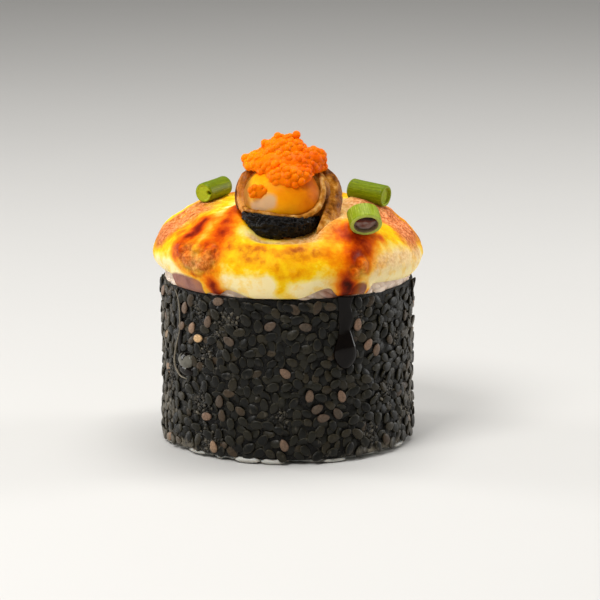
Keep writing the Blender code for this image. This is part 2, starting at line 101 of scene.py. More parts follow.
def smoothPath(path, count):
    # A curve through the rows.
    rows = np.array(path, float)
    padded = np.vstack((2 * rows[0] - rows[1], rows, 2 * rows[-1] - rows[-2]))
    fine = []
    for a, b, c, d in zip(padded, padded[1:], padded[2:], padded[3:]):
        for t in np.linspace(0, 1, 12, endpoint=False):
            fine.append(0.5 * (2 * b + (c - a) * t + (2 * a - 5 * b + 4 * c - d) * t**2
                               + (3 * b - a - 3 * c + d) * t**3))
    fine.append(rows[-1])
    return evenPath(fine, count)


def nearness(points, path, width):
    # 1 on the path, falling smoothly to 0 at about twice the width.
    line = smoothPath(path, 24) if len(path) > 1 else np.array(path, float)
    gaps = np.linalg.norm(points[:, None, :] - line[None, :, :3], axis=2)
    return bell(gaps.min(axis=1), width)


# Meshes and pieces

def pointsOf(mesh):
    flat = np.empty(len(mesh.vertices) * 3)
    mesh.vertices.foreach_get("co", flat)
    return flat.reshape(-1, 3)


def setPoints(mesh, points):
    mesh.vertices.foreach_set("co", np.ascontiguousarray(points, float).ravel())
    mesh.update()


def paint(mesh, name, values):
    # One number for each point, which the materials read by its name.
    layer = mesh.attributes.new(name, "FLOAT", "POINT")
    layer.data.foreach_set("value", np.clip(values, 0, 1).astype(np.float32))


def meshFrom(name, bm):
    mesh = bpy.data.meshes.new(name)
    bm.to_mesh(mesh)
    bm.free()
    return mesh


def addPiece(mesh, material, slot, *nodes):
    # The mesh is in millimetres until here.
    setPoints(mesh, pointsOf(mesh) * mm)
    mesh.materials.append(material)
    mesh.shade_smooth()
    piece = bpy.data.objects.new(mesh.name, mesh)
    bpy.context.scene.collection.objects.link(piece)
    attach(piece, "root")
    for node in nodes:
        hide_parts(node)


def turned(profile, steps, closed=False):
    # A (radius, height) profile spun about Z.
    bm = bmesh.new()
    verts = [bm.verts.new((radius, 0.0, height)) for radius, height in profile]
    pairs = list(zip(verts, verts[1:]))
    if closed:
        pairs.append((verts[-1], verts[0]))
    edges = [bm.edges.new(pair) for pair in pairs]
    bmesh.ops.spin(bm, geom=verts + edges, cent=(0, 0, 0), axis=(0, 0, 1),
                   angle=math.tau, steps=steps, use_merge=True)
    bmesh.ops.remove_doubles(bm, verts=bm.verts, dist=0.001)
    bmesh.ops.recalc_face_normals(bm, faces=bm.faces)
    return bm


def ball(radii, around, up, place=None):
    bm = bmesh.new()
    bmesh.ops.create_uvsphere(bm, u_segments=around, v_segments=up, radius=1.0)
    bmesh.ops.scale(bm, vec=radii, verts=bm.verts)
    if place is not None:
        bmesh.ops.transform(bm, matrix=place, verts=bm.verts)
    return bm


def sweep(bm, path, facing, count, sides):
    # A tube along rows of x, y, z, half-width, half-thickness. Its flat side looks along facing.
    rows = smoothPath(path, count)
    heading = np.gradient(rows[:, :3], axis=0)
    last = None
    for row, way in zip(rows, heading):
        along = Vector(way).normalized()
        across = along.cross(Vector(facing)).normalized()
        out = across.cross(along)
        place = Matrix((across * row[3], out * row[4], along)).transposed().to_4x4()
        place.translation = row[:3]
        if last is None:
            ring = bmesh.ops.create_circle(bm, cap_ends=True, segments=sides, radius=1.0)["verts"]
            edges = list({edge for vert in ring for edge in vert.link_edges})
            bmesh.ops.transform(bm, matrix=place, verts=ring)
        else:
            grown = bmesh.ops.extrude_edge_only(bm, edges=edges)["geom"]
            ring = [item for item in grown if isinstance(item, bmesh.types.BMVert)]
            edges = [item for item in grown if isinstance(item, bmesh.types.BMEdge)]
            bmesh.ops.transform(bm, matrix=place @ last.inverted(), verts=ring)
        last = place
    bmesh.ops.holes_fill(bm, edges=edges, sides=sides)
    bmesh.ops.recalc_face_normals(bm, faces=bm.faces)


def manyCopies(name, stamp, places, tones, edges=None):
    # One mesh of the stamp at every place. tone differs from copy to copy.
    shape = np.array([vert.co for vert in stamp.verts])
    corners = [[vert.index for vert in face.verts] for face in stamp.faces]
    stamp.free()
    turns = np.array([[list(row) for row in place] for place in places])
    points = np.einsum("nij,vj->nvi", turns[:, :3, :3], shape) + turns[:, None, :3, 3]
    faces = [[corner + copy * len(shape) for corner in face]
             for copy in range(len(places)) for face in corners]
    mesh = bpy.data.meshes.new(name)
    mesh.from_pydata(points.reshape(-1, 3).tolist(), [], faces)
    paint(mesh, "tone", np.repeat(tones, len(shape)))
    if edges is not None:
        paint(mesh, "edge", np.tile(edges, len(places)))
    return mesh


# Node groups and materials

def tint(red, green, blue):
    # A screen colour from 0 to 255 as the linear colour that a socket takes.
    parts = [part / 255 for part in (red, green, blue)]
    return (*(p / 12.92 if p < 0.04045 else ((p + 0.055) / 1.055) ** 2.4 for p in parts), 1.0)


def plug(tree, value, socket):
    if isinstance(value, bpy.types.NodeSocket):
        tree.links.new(value, socket)
    else:
        socket.default_value = value


def put(tree, kind, values=None, **settings):
    made = tree.nodes.new("ShaderNode" + kind)
    for name, value in settings.items():
        setattr(made, name, value)
    for name, value in (values or {}).items():
        plug(tree, value, made.inputs[name])
    return made


def calc(tree, operation, first, second):
    made = put(tree, "Math", operation=operation)
    for value, socket in zip((first, second), made.inputs):
        plug(tree, value, socket)
    return made.outputs[0]


def mixed(tree, share, first, second, blend="MIX"):
    made = put(tree, "Mix", data_type="RGBA", blend_type=blend)
    for value, index in ((share, 0), (first, 6), (second, 7)):
        plug(tree, value, made.inputs[index])
    return made.outputs[2]


def spread(tree, value, low, high, least=0.0, most=1.0):
    return put(tree, "MapRange", {"Value": value, "From Min": low, "From Max": high,
                                  "To Min": least, "To Max": most},
               interpolation_type="SMOOTHSTEP").outputs[0]


def colours(tree, value, stops):
    made = put(tree, "ValToRGB", {"Fac": value})
    stripe = made.color_ramp.elements
    while len(stripe) < len(stops):
        stripe.new(0.5)
    for element, (place, colour) in zip(stripe, stops):
        element.position = place
        element.color = tint(*colour)
    return made.outputs[0]


def painted(tree, name):
    return put(tree, "Attribute", attribute_name=name).outputs["Fac"]


def groupTree(name, takes, gives):
    group = bpy.data.node_groups.new(name, "ShaderNodeTree")
    for label, kind, value in takes:
        socket = group.interface.new_socket(label, in_out="INPUT", socket_type="NodeSocket" + kind)
        if value is not None:
            socket.default_value = value
    for label, kind in gives:
        group.interface.new_socket(label, in_out="OUTPUT", socket_type="NodeSocket" + kind)
    start = group.nodes.new("NodeGroupInput").outputs
    end = group.nodes.new("NodeGroupOutput").inputs
    return group, start, end


def useGroup(tree, group, values):
    made = tree.nodes.new("ShaderNodeGroup")
    made.node_tree = group
    for name, value in values.items():
        plug(tree, value, made.inputs[name])
    return made.outputs


def makeGrain():
    # Fine uneven relief with pits, and the same as a mottle for the colour.
    group, start, end = groupTree(
        "foodGrain",
        [("Vector", "Vector", None), ("Scale", "Float", 1000.0), ("Pits", "Float", 0.5)],
        [("Height", "Float"), ("Mottle", "Float")],
    )
    broad = put(group, "TexNoise", {"Vector": start["Vector"], "Scale": start["Scale"],
                                    "Detail": 5.0, "Roughness": 0.6}).outputs[0]
    finer = calc(group, "MULTIPLY", start["Scale"], 1.7)
    cells = put(group, "TexVoronoi", {"Vector": start["Vector"], "Scale": finer}).outputs["Distance"]
    pits = calc(group, "MULTIPLY", spread(group, cells, 0.0, 0.45), start["Pits"])
    plug(group, calc(group, "ADD", broad, pits), end["Height"])
    plug(group, spread(group, broad, 0.3, 0.7), end["Mottle"])
    return group


def makeRaggedEdge():
    # Turns a soft painted mask into one with a ragged edge.
    group, start, end = groupTree(
        "raggedEdge",
        [("Mask", "Float", 0.0), ("Vector", "Vector", None), ("Scale", "Float", 800.0),
         ("Ragged", "Float", 0.6), ("Soft", "Float", 0.3)],
        [("Mask", "Float")],
    )
    broad = put(group, "TexNoise", {"Vector": start["Vector"], "Scale": start["Scale"],
                                    "Detail": 4.0, "Roughness": 0.55}).outputs[0]
    shift = calc(group, "MULTIPLY", calc(group, "SUBTRACT", broad, 0.5), start["Ragged"])
    value = calc(group, "ADD", start["Mask"], shift)
    low = calc(group, "SUBTRACT", 0.5, start["Soft"])
    high = calc(group, "ADD", 0.5, start["Soft"])
    plug(group, spread(group, value, low, high), end["Mask"])
    return group


def makeToneShift():
    # Darkens or lightens a colour by a tone: each small piece's own tone, and on the cap the painted light
    # and shade of its relief.
    group, start, end = groupTree(
        "toneShift",
        [("Color", "Color", None), ("Tone", "Float", 0.5), ("Amount", "Float", 0.5)],
        [("Color", "Color")],
    )
    share = calc(group, "MULTIPLY", calc(group, "SUBTRACT", start["Tone"], 0.5), start["Amount"])
    gain = calc(group, "ADD", share, 1.0)
    grey = put(group, "CombineColor", {"Red": gain, "Green": gain, "Blue": gain}).outputs[0]
    plug(group, mixed(group, 1.0, start["Color"], grey, "MULTIPLY"), end["Color"])
    return group


foodGrain = makeGrain()
raggedEdge = makeRaggedEdge()
toneShift = makeToneShift()


def newMaterial(name, settings):
    made = bpy.data.materials.new(name)
    made.use_nodes = True
    shader = made.node_tree.nodes["Principled BSDF"]
    for socket, value in settings.items():
        shader.inputs[socket].default_value = value
    return made, made.node_tree, shader.inputs


def ownPlace(tree):
    return put(tree, "TexCoord").outputs["Object"]


def bumped(tree, height, depth, strength):
    values = {"Height": height, "Distance": depth * mm, "Strength": strength}
    return put(tree, "Bump", values).outputs[0]


def grainOn(tree, place, scale, pits):
    return useGroup(tree, foodGrain, {"Vector": place, "Scale": scale, "Pits": pits})


def ragged(tree, mask, place, scale, jagged, soft):
    # The mask can be the name of a painted one.
    if isinstance(mask, str):
        mask = painted(tree, mask)
    values = {"Mask": mask, "Vector": place, "Scale": scale, "Ragged": jagged, "Soft": soft}
    return useGroup(tree, raggedEdge, values)["Mask"]


def shifted(tree, colour, tone, amount):
    return useGroup(tree, toneShift, {"Color": colour, "Tone": tone, "Amount": amount})["Color"]


# Camera, light and floor

studio = {
    "target": (2.5, 0.0, 28.06),
    "distance": 700.0,
    "elevation": 12.1,
    "lens": 206.3,
    # place, what it looks at, size, watts
    "lamps": (
        ((-240, -330, 520), (0, 0, 35), (260, 260), 3.0),
        ((60, 120, 640), (0, 0, 30), (420, 420), 2.8),
        ((-520, 160, 150), (0, 0, 20), (160, 420), 1.5),
        ((520, 160, 150), (0, 0, 20), (160, 420), 1.5),
    ),
    "skyStrength": 0.2,
    "floorHalf": 3000.0,
}


def buildStudio():
    tilt = math.radians(studio["elevation"])
    target = Vector(studio["target"])
    back = Vector((0.0, -math.cos(tilt), math.sin(tilt)))
    lens = bpy.data.cameras.new("camera")
    lens.lens = studio["lens"]
    lens.clip_start = 0.01
    camera = bpy.data.objects.new("camera", lens)
    camera.location = (target + back * studio["distance"]) * mm
    camera.rotation_euler = back.to_track_quat("Z", "Y").to_euler()
    bpy.context.scene.collection.objects.link(camera)
    bpy.context.scene.camera = camera
    bpy.context.scene.view_settings.view_transform = "Standard"
    for place, aim, size, watts in studio["lamps"]:
        light = bpy.data.lights.new("softbox", "AREA")
        light.shape = "RECTANGLE"
        light.size = size[0] * mm
        light.size_y = size[1] * mm
        light.energy = watts
        lamp = bpy.data.objects.new("softbox", light)
        lamp.location = Vector(place) * mm
        lamp.rotation_euler = (Vector(place) - Vector(aim)).to_track_quat("Z", "Y").to_euler()
        bpy.context.scene.collection.objects.link(lamp)
    world = bpy.data.worlds.new("paleRoom")
    world.use_nodes = True
    sky = world.node_tree.nodes["Background"].inputs
    sky["Color"].default_value = (1.0, 0.99, 0.97, 1.0)
    sky["Strength"].default_value = studio["skyStrength"]
    bpy.context.scene.world = world


def buildFloor():
    material, tree, shader = newMaterial("paleFloor", {"Roughness": 0.7})
    grain = grainOn(tree, ownPlace(tree), 3.0, 0.0)
    stops = ((0.0, (206, 204, 200)), (1.0, (208, 206, 202)))
    plug(tree, colours(tree, grain["Mottle"], stops), shader["Base Color"])
    bm = bmesh.new()
    bmesh.ops.create_grid(bm, x_segments=4, y_segments=4, size=studio["floorHalf"] * mm)
    mesh = meshFrom("floor", bm)
    mesh.materials.append(material)
    floor = bpy.data.objects.new("floor", mesh)
    bpy.context.scene.collection.objects.link(floor)
    floor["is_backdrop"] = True


buildStudio()
buildFloor()
print("Camera, light and floor")


# Rice

rice = {
    "radius": 24.2,
    "top": 36.0,
    "floorGap": 0.45,
    "grain": (4.8, 2.3, 2.0),
    "collar": (32.9, 35.7),
    "collarEdge": 24.75,
    "collarCount": 190,
    "footCount": 120,
    "underCount": 330,
    # Grains that stick out under the sleeve: angle, height, length, width.
    "slivers": ((-18.5, 0.7, 5.4, 1.5), (-6.5, 0.6, 5.0, 1.4), (-46, 0.8, 4.6, 1.0),
                (22, 0.5, 5.0, 0.9), (63, 0.8, 4.4, 1.2), (121, 0.7, 5.0, 1.3), (198, 0.7, 4.8, 1.4),
                (236, 0.7, 4.6, 1.1), (286, 0.8, 4.6, 1.3)),
    "collarColour": (240, 214, 192),
    # The foot's grey is painted shade low on the roll.
    "footShadeColour": (178, 176, 168),
    "stainColour": (164, 112, 94),
    # Where sauce has soaked in: angle, half-width and strength.
    "stains": ((-50, 11, 0.75), (-34, 5, 0.75), (24, 12, 0.75), (60, 24, 0.32), (150, 12, 0.7),
               (215, 9, 0.7)),
}


def riceMaterial():
    material, tree, shader = newMaterial("stickyRice", {
        "Roughness": 0.38, "Subsurface Weight": 0.25, "Subsurface Scale": mm,
        "Subsurface Radius": (1.4, 1.0, 0.7), "Specular IOR Level": 0.3,
    })
    place = ownPlace(tree)
    height = put(tree, "SeparateXYZ", {"Vector": place}).outputs["Z"]
    # Painted shade: greyer and darker towards the bottom.
    up = spread(tree, height, 4 * mm, 20 * mm)
    base = mixed(tree, up, tint(*rice["footShadeColour"]), tint(*rice["collarColour"]))
    stains = ragged(tree, "stain", place, 420.0, 0.9, 0.35)
    stained = mixed(tree, stains, base, tint(*rice["stainColour"]))
    grain = grainOn(tree, place, 900.0, 0.3)
    plug(tree, shifted(tree, stained, painted(tree, "tone"), 0.25), shader["Base Color"])
    plug(tree, bumped(tree, grain["Height"], 0.1, 0.5), shader["Normal"])
    return material


def buildRice(rng):
    material = riceMaterial()
    length, width, thick = rice["grain"]
    places = []
    tones = []

    def addGrain(spot, out, lengthways, sizes):
        across = out.cross(lengthways).normalized()
        way = across.cross(out)
        place = Matrix((way * sizes[0] / 2, across * sizes[1] / 2, out * sizes[2] / 2))
        place = place.transposed().to_4x4()
        place.translation = spot
        places.append(place)
        tones.append(rng.random())

    def anySizes():
        share = rng.uniform(0.85, 1.12)
        return [length * share, width * rng.uniform(0.88, 1.1), thick * rng.uniform(0.85, 1.1)]

    low, high = rice["collar"]
    for index in range(rice["collarCount"]):
        angle = index * 360 / rice["collarCount"] * 3 + rng.uniform(-4, 4)
        height = rng.uniform(low, high)
        out = outward(angle)
        lean = rng.uniform(-0.7, 0.7)
        way = outward(angle + 90) * math.cos(lean) + Vector((0, 0, 1)) * math.sin(lean)
        spot = out * (rice["collarEdge"] - 0.75 + rng.uniform(-0.2, 0.1)) + Vector((0, 0, height))
        addGrain(spot, out, way, anySizes())
    for index in range(rice["footCount"]):
        angle = index * 360 / rice["footCount"] + rng.uniform(-2, 2)
        out = outward(angle)
        way = outward(angle + 90 + rng.uniform(-18, 18))
        spot = out * (rice["radius"] - 0.9) + Vector((0, 0, rng.uniform(0.9, 1.6)))
        addGrain(spot, out, way, anySizes())
    for index in range(rice["underCount"]):
        far = (rice["radius"] - 1.6) * math.sqrt((index + 0.5) / rice["underCount"])
        spot = outward(math.degrees(index * math.pi * (3 - math.sqrt(5)))) * far
        spot.z = rng.uniform(0.55, 0.9)
        addGrain(spot, Vector((0, 0, -1)), outward(rng.uniform(0, 360)), anySizes())
    for angle, height, long, wide in rice["slivers"]:
        out = outward(angle)
        spot = out * (rice["radius"] + 0.75) + Vector((0, 0, height))
        addGrain(spot, out, outward(angle + 90), (long, wide * 0.8, wide))

    stamp = ball((1, 1, 1), 10, 6)
    for vert in stamp.verts:
        vert.co.x = math.copysign(abs(vert.co.x) ** 0.8, vert.co.x)
    grains = manyCopies("riceGrains", stamp, places, tones)
    points = pointsOf(grains)
    points[:, 2] = np.maximum(points[:, 2], 0.0)
    setPoints(grains, points)
    paint(grains, "stain", stainOn(points))
    addPiece(grains, material, "sushi_rice", "rice_core")

    edge = rice["radius"] - 0.6
    profile = evenPath([(0, rice["floorGap"]), (edge - 0.6, rice["floorGap"]), (edge, 1.2), (edge, low - 0.6),
                        (rice["collarEdge"], low + 0.3), (rice["collarEdge"], rice["top"] - 0.5),
                        (edge, rice["top"]), (0, rice["top"])], 90)
    core = meshFrom("riceCore", turned(profile, 150))
    points = pointsOf(core)
    away = points * (1, 1, 0) / np.maximum(np.linalg.norm(points[:, :2], axis=1), 1)[:, None]
    points += away * (0.22 * lumps(points, 1.9))[:, None]
    setPoints(core, points)
    paint(core, "tone", 0.4 + 0.2 * lumps(points, 2.0))
    paint(core, "stain", stainOn(points))
    addPiece(core, material, "sushi_rice", "rice_core")


def stainOn(points):
    angles = anglesOf(points)
    near = np.zeros(len(points))
    for angle, width, strength in rice["stains"]:
        near = np.maximum(near, strength * bell(turnBetween(angles, angle), width))
    return near * ramp(points[:, 2], 30, 33)


buildRice(random.Random(11))
print("Rice")


# Sesame sleeve

sleeve = {
    "radius": 25.7,
    "waist": 0.25,
    "bottom": 0.9,
    "top": 33.5,
    "inner": 24.95,
    "footRounding": 0.6,
    "matrixSunk": 0.5,
    "seed": (2.65, 1.8, 0.56),
    "taper": 0.38,
    "proudCount": 560,
    "proudLift": (-0.2, 0.04),
    "proudLean": 6.0,
    "proudGap": 2.2,
    "sunkCount": 900,
    "sunkLift": (-0.6, -0.36),
    "sunkLean": 11.0,
    "sunkGap": 1.4,
    # Seeds of other colours: angle, height, turn from upright, tone from brown to light tan.
    "tanSeeds": ((-53, 29.8, 15, 0.3), (-56, 25.9, 60, 0.3), (-48, 26.1, 25, 0.75), (-44, 24.2, 80, 1.0),
                 (-38, 28.0, 15, 0.2), (-27, 24.6, -60, 0.05), (-32, 32.4, 80, 0.25), (8, 28.0, -80, 0.0),
                 (-7.5, 28.2, 60, 0.1), (-1, 18.7, -50, 0.4), (10, 14.0, 5, 0.25), (25, 13.5, -20, 0.45),
                 (13.5, 11.3, 60, 0.05), (16.3, 9.4, 85, 0.1), (23, 10.1, -35, 0.0), (-39, 8.6, 80, 0.5),
                 (-35, 2.7, -15, 0.85), (-1.5, 4.1, -20, 0.35), (33, 27.7, 10, 0.55), (39, 23.3, 40, 0.6),
                 (44, 21.9, 20, 0.3), (-32, 12.1, 5, 0.0)),
    "strayTan": 0.03,
    "crumbsPerArea": 16,
    "crumb": (0.16, 0.38),
    # Crushed seeds: angle, height, half-width.
    "crushed": ((-40, 21.0, 1.9), (-43, 11.2, 2.2), (-27, 28.6, 2.2), (-44, 30.3, 2.0), (-33, 25.6, 1.5),
                (-38, 3.4, 2.6), (-3, 9.8, 1.4), (34, 29.0, 1.6), (40, 5.0, 2.4), (52, 13.0, 2.2),
                (58, 24.0, 2.0), (-66, 16.0, 2.6), (75, 8.0, 2.4), (110, 20.0, 2.4), (140, 9.0, 2.2),
                (172, 26.0, 2.6), (205, 13.0, 2.2), (238, 22.0, 2.4), (262, 7.0, 2.4)),
    # Patches where a pale film has dried on; those at the sides stand also for the pale sheen of grazing
    # light there, so their colour is partly painted sheen: angle, half-width, height, half-height.
    "films": ((-80, 16, 25, 9), (-75, 13, 8, 8), (82, 13, 23, 9), (76, 12, 8, 7), (-56, 20, 1.6, 1.5),
              (44, 22, 1.6, 1.2), (-150, 12, 20, 9), (128, 10, 14, 9)),
}


def sleeveRadius(height):
    share = (height - sleeve["bottom"]) / (sleeve["top"] - sleeve["bottom"])
    return sleeve["radius"] - sleeve["waist"] * np.sin(np.pi * share)


def wallFrame(angle, height, lift=0.0):
    # X goes round the wall, Y up it and Z out of it.
    out = outward(angle)
    place = Matrix((outward(angle + 90), Vector((0, 0, 1)), out)).transposed().to_4x4()
    place.translation = out * (sleeveRadius(height) + lift) + Vector((0, 0, height))
    return place


def wallGap(angleA, heightA, angleB, heightB):
    aside = np.radians(turnBetween(angleA, angleB)) * sleeve["radius"]
    return np.hypot(aside, heightA - heightB)


def sesameSeed():
    # A flat drop-shaped seed with a soft crown, and how near each point is to its edge.
    length, width, thick = sleeve["seed"]
    bm = bmesh.new()
    bmesh.ops.create_circle(bm, cap_ends=True, segments=12, radius=0.5)
    rings = ((0.84, -0.5), (1.0, 0.0), (0.92, 0.36), (0.62, 0.54))
    lid = bm.faces[:]
    size, height = rings[0]
    bmesh.ops.translate(bm, vec=(0, 0, height), verts=bm.verts)
    bmesh.ops.scale(bm, vec=(size, size, 1), verts=bm.verts)
    for nextSize, nextHeight in rings[1:]:
        # The first lid stays as the seed's underside.
        raised = bmesh.ops.extrude_face_region(bm, geom=lid, use_keep_orig=nextSize == 1.0)["geom"]
        verts = [item for item in raised if isinstance(item, bmesh.types.BMVert)]
        lid = [item for item in raised if isinstance(item, bmesh.types.BMFace)]
        bmesh.ops.translate(bm, vec=(0, 0, nextHeight - height), verts=verts)
        bmesh.ops.scale(bm, vec=(nextSize / size, nextSize / size, 1), verts=verts)
        size, height = nextSize, nextHeight
    crown = bmesh.ops.poke(bm, faces=lid)["verts"]
    bmesh.ops.translate(bm, vec=(0, 0, 0.05), verts=crown)
    edge = [max(0.0, vert.co.xy.length * 2 - 0.7) / 0.3 for vert in bm.verts]
    for vert in bm.verts:
        vert.co.y *= 1.0 - sleeve["taper"] * (vert.co.x + 0.1)
    bmesh.ops.scale(bm, vec=(length, width, thick), verts=bm.verts)
    bmesh.ops.recalc_face_normals(bm, faces=bm.faces)
    bm.verts.index_update()
    return bm, edge


def scatterSeeds(rng):
    # Seeds that stand proud come first, and sunk ones fill the room between them.
    found = [(angle, height) for angle, height, _, _ in sleeve["tanSeeds"]]
    kinds = [("proud", sleeve["proudCount"], sleeve["proudGap"]),
             ("sunk", sleeve["sunkCount"], sleeve["sunkGap"])]
    made = []
    for kind, count, gap in kinds:
        wanted = len(found) + count
        for _ in range(count * 30):
            if len(found) >= wanted:
                break
            angle = rng.uniform(-180, 180)
            height = rng.uniform(sleeve["bottom"] + 0.8, sleeve["top"] - 1.1)
            taken = np.array(found)
            if wallGap(taken[:, 0], taken[:, 1], angle, height).min() > gap * rng.uniform(0.85, 1.15):
                found.append((angle, height))
                made.append((kind, angle, height))
    return made


def crushedAt(angle, height):
    near = 0.0
    for at, level, width in sleeve["crushed"]:
        near = np.maximum(near, bell(wallGap(angle, height, at, level), width))
    return near


def filmAndSheenAt(points):
    angles = anglesOf(points)
    total = 0.0
    for at, width, level, reach in sleeve["films"]:
        total = total + bell(turnBetween(angles, at), width) * bell(points[:, 2] - level, reach)
    return total


def filmAndSheenThreads(tree, place):
    # The dried film shows as short ragged pale threads that run up the wall, partly painted sheen at the
    # sides.
    drawn = put(tree, "Mapping", {"Vector": place, "Scale": (1.0, 1.0, 0.4)}).outputs[0]
    mask = calc(tree, "MULTIPLY", painted(tree, "film"), 0.55)
    return ragged(tree, mask, drawn, 900.0, 1.9, 0.3)


def seedMaterial(name, dark):
    material, tree, shader = newMaterial(name, {"Roughness": 0.4, "Specular IOR Level": 0.24})
    place = ownPlace(tree)
    tone = painted(tree, "tone")
    edge = painted(tree, "edge")
    grain = grainOn(tree, place, 2600.0, 0.4)
    if dark:
        stops = ((0.0, (4, 4, 1)), (0.4, (13, 12, 6)), (0.75, (27, 25, 15)), (0.92, (44, 38, 25)),
                 (1.0, (66, 52, 38)))
        # A paler rim: painted highlight on the bevel.
        rim = (62, 57, 42)
    else:
        stops = ((0.0, (72, 61, 50)), (0.3, (104, 84, 68)), (0.6, (126, 99, 80)), (0.85, (144, 115, 90)),
                 (1.0, (198, 160, 114)))
        rim = (70, 52, 38)
    base = colours(tree, tone, stops)
    # Black seeds get a paler rim, a painted highlight on their bevels; tan seeds get a darker rim.
    paintedRim = ragged(tree, calc(tree, "MULTIPLY", edge, 0.75), place, 700.0, 1.1, 0.3)
    rimmed = mixed(tree, calc(tree, "MULTIPLY", paintedRim, 0.55), base, tint(*rim))
    toned = shifted(tree, rimmed, grain["Mottle"], 0.6)
    threads = calc(tree, "MULTIPLY", filmAndSheenThreads(tree, place), 0.7)
    # Pale threads of dried film, partly painted sheen.
    plug(tree, mixed(tree, threads, toned, tint(118, 110, 96)), shader["Base Color"])
    plug(tree, spread(tree, grain["Mottle"], 0.0, 1.0, 0.34, 0.56), shader["Roughness"])
    plug(tree, bumped(tree, grain["Height"], 0.05, 0.6), shader["Normal"])
    return material


def matrixMaterial():
    material, tree, shader = newMaterial("pressedSesame", {
        "Roughness": 0.55, "Specular IOR Level": 0.2, "Sheen Weight": 0.08, "Sheen Roughness": 0.35,
    })
    place = ownPlace(tree)
    grain = grainOn(tree, place, 1500.0, 0.6)
    crushed = ragged(tree, "crushed", place, 3400.0, 2.2, 0.2)
    base = colours(tree, grain["Mottle"], ((0.0, (4, 3, 2)), (0.6, (11, 10, 7)), (1.0, (26, 23, 17))))
    grey = mixed(tree, crushed, base, tint(88, 82, 68))
    # Pale threads of dried film, partly painted sheen.
    plug(tree, mixed(tree, filmAndSheenThreads(tree, place), grey, tint(134, 126, 110)), shader["Base Color"])
    plug(tree, bumped(tree, grain["Height"], 0.22, 0.9), shader["Normal"])
    return material


def crumbMaterial():
    material, tree, shader = newMaterial("sesameCrumbs", {"Roughness": 0.45, "Specular IOR Level": 0.3})
    grain = grainOn(tree, ownPlace(tree), 3000.0, 0.3)
    base = colours(tree, painted(tree, "tone"), ((0.0, (14, 13, 9)), (0.5, (36, 33, 26)),
                                                 (0.85, (64, 59, 49)), (1.0, (94, 87, 73))))
    plug(tree, shifted(tree, base, grain["Mottle"], 0.4), shader["Base Color"])
    return material


def buildWall():
    bottom, top = sleeve["bottom"], sleeve["top"]
    heights = np.linspace(bottom + sleeve["footRounding"], top - 0.25, 90)
    sunk = sleeve["matrixSunk"]
    outer = [(sleeveRadius(height) - sunk, height) for height in heights]
    profile = [(sleeve["inner"], bottom), (sleeve["radius"] - sunk - 0.45, bottom),
               (sleeve["radius"] - sunk - 0.15, bottom + 0.25), *outer,
               (sleeve["radius"] - sunk - 0.2, top), (sleeve["inner"], top)]
    wall = meshFrom("sesameWall", turned(profile, 420, closed=True))
    points = pointsOf(wall)
    angles = anglesOf(points)
    far = np.linalg.norm(points[:, :2], axis=1)
    shown = ramp(far, sleeve["inner"] + 0.05, sleeve["inner"] + 0.2)
    crushed = crushedAt(angles, points[:, 2])
    film = filmAndSheenAt(points)
    relief = 0.12 * lumps(points, 1.3) + 0.08 * lumps(points, 0.55)
    relief += 0.2 * crushed * (lumps(points, 0.42) + 1)
    relief += 0.25 * film * (lumps(points * (1, 1, 0.2), 0.8, 12.0) + 0.5)
    points[:, :2] *= (1 + shown * relief / far)[:, None]
    setPoints(wall, points)
    paint(wall, "crushed", crushed * 0.6)
    paint(wall, "film", film)
    addPiece(wall, matrixMaterial(), "black_sesame", "sesame_coat")


def buildSeeds(rng):
    black = []
    blackTones = []
    tan = []
    tanTones = []
    for kind, angle, height in scatterSeeds(rng):
        lift = rng.uniform(*sleeve[kind + "Lift"])
        lean = sleeve[kind + "Lean"]
        turn = Matrix.Rotation(rng.uniform(0, math.tau), 4, "Z")
        tilt = Matrix.Rotation(math.radians(rng.gauss(0, lean)), 4, "X")
        tip = Matrix.Rotation(math.radians(rng.gauss(0, lean)), 4, "Y")
        size = rng.uniform(0.86, 1.12)
        tone = rng.random()
        place = wallFrame(angle, height, lift) @ tilt @ tip @ turn @ Matrix.Diagonal((size, size, 1, 1))
        if crushedAt(angle, height) > rng.uniform(0.3, 0.75):
            continue
        if rng.random() < sleeve["strayTan"] and turnBetween(angle, 0) > 68:
            tan.append(place)
            tanTones.append(tone)
        else:
            black.append(place)
            blackTones.append(tone)
    for angle, height, turn, tone in sleeve["tanSeeds"]:
        upright = Matrix.Rotation(math.radians(90 - turn), 4, "Z")
        tan.append(wallFrame(angle, height, -0.02) @ upright)
        tanTones.append(tone)
    for name, places, tones in (("blackSeeds", black, blackTones), ("tanSeeds", tan, tanTones)):
        stamp, edge = sesameSeed()
        seeds = manyCopies(name, stamp, places, tones, edge)
        paint(seeds, "film", filmAndSheenAt(pointsOf(seeds)))
        addPiece(seeds, seedMaterial(name, name == "blackSeeds"), "black_sesame", "sesame_coat")
    print("Seeds:", len(black), "black,", len(tan), "tan")


def buildCrumbs(rng):
    bottom, top = sleeve["bottom"], sleeve["top"]
    crumbs = []
    for angle, height, width in sleeve["crushed"]:
        for _ in range(round(sleeve["crumbsPerArea"] * width * width)):
            aside = math.degrees(rng.gauss(0, width * 0.5) / sleeve["radius"])
            level = height + rng.gauss(0, width * 0.5)
            size = rng.uniform(*sleeve["crumb"])
            spin = Matrix.Rotation(rng.uniform(0, math.tau), 4, "Z")
            tilt = Matrix.Rotation(rng.gauss(0, 0.5), 4, "X")
            place = wallFrame(angle + aside, level, rng.uniform(-0.4, -0.1)) @ tilt @ spin
            if bottom + 0.5 < level < top - 0.5:
                crumbs.append(place @ Matrix.Diagonal((size * 1.5, size, size * 0.7, 1)))
    stamp = bmesh.new()
    bmesh.ops.create_icosphere(stamp, subdivisions=1, radius=1.0)
    stamp.verts.index_update()
    bits = manyCopies("sesameCrumbs", stamp, crumbs, [rng.random() for _ in crumbs])
    addPiece(bits, crumbMaterial(), "black_sesame", "sesame_coat")
    print("Crumbs:", len(crumbs))


buildWall()
sleeveDraws = random.Random(23)
buildSeeds(sleeveDraws)
buildCrumbs(sleeveDraws)


# Baked cap

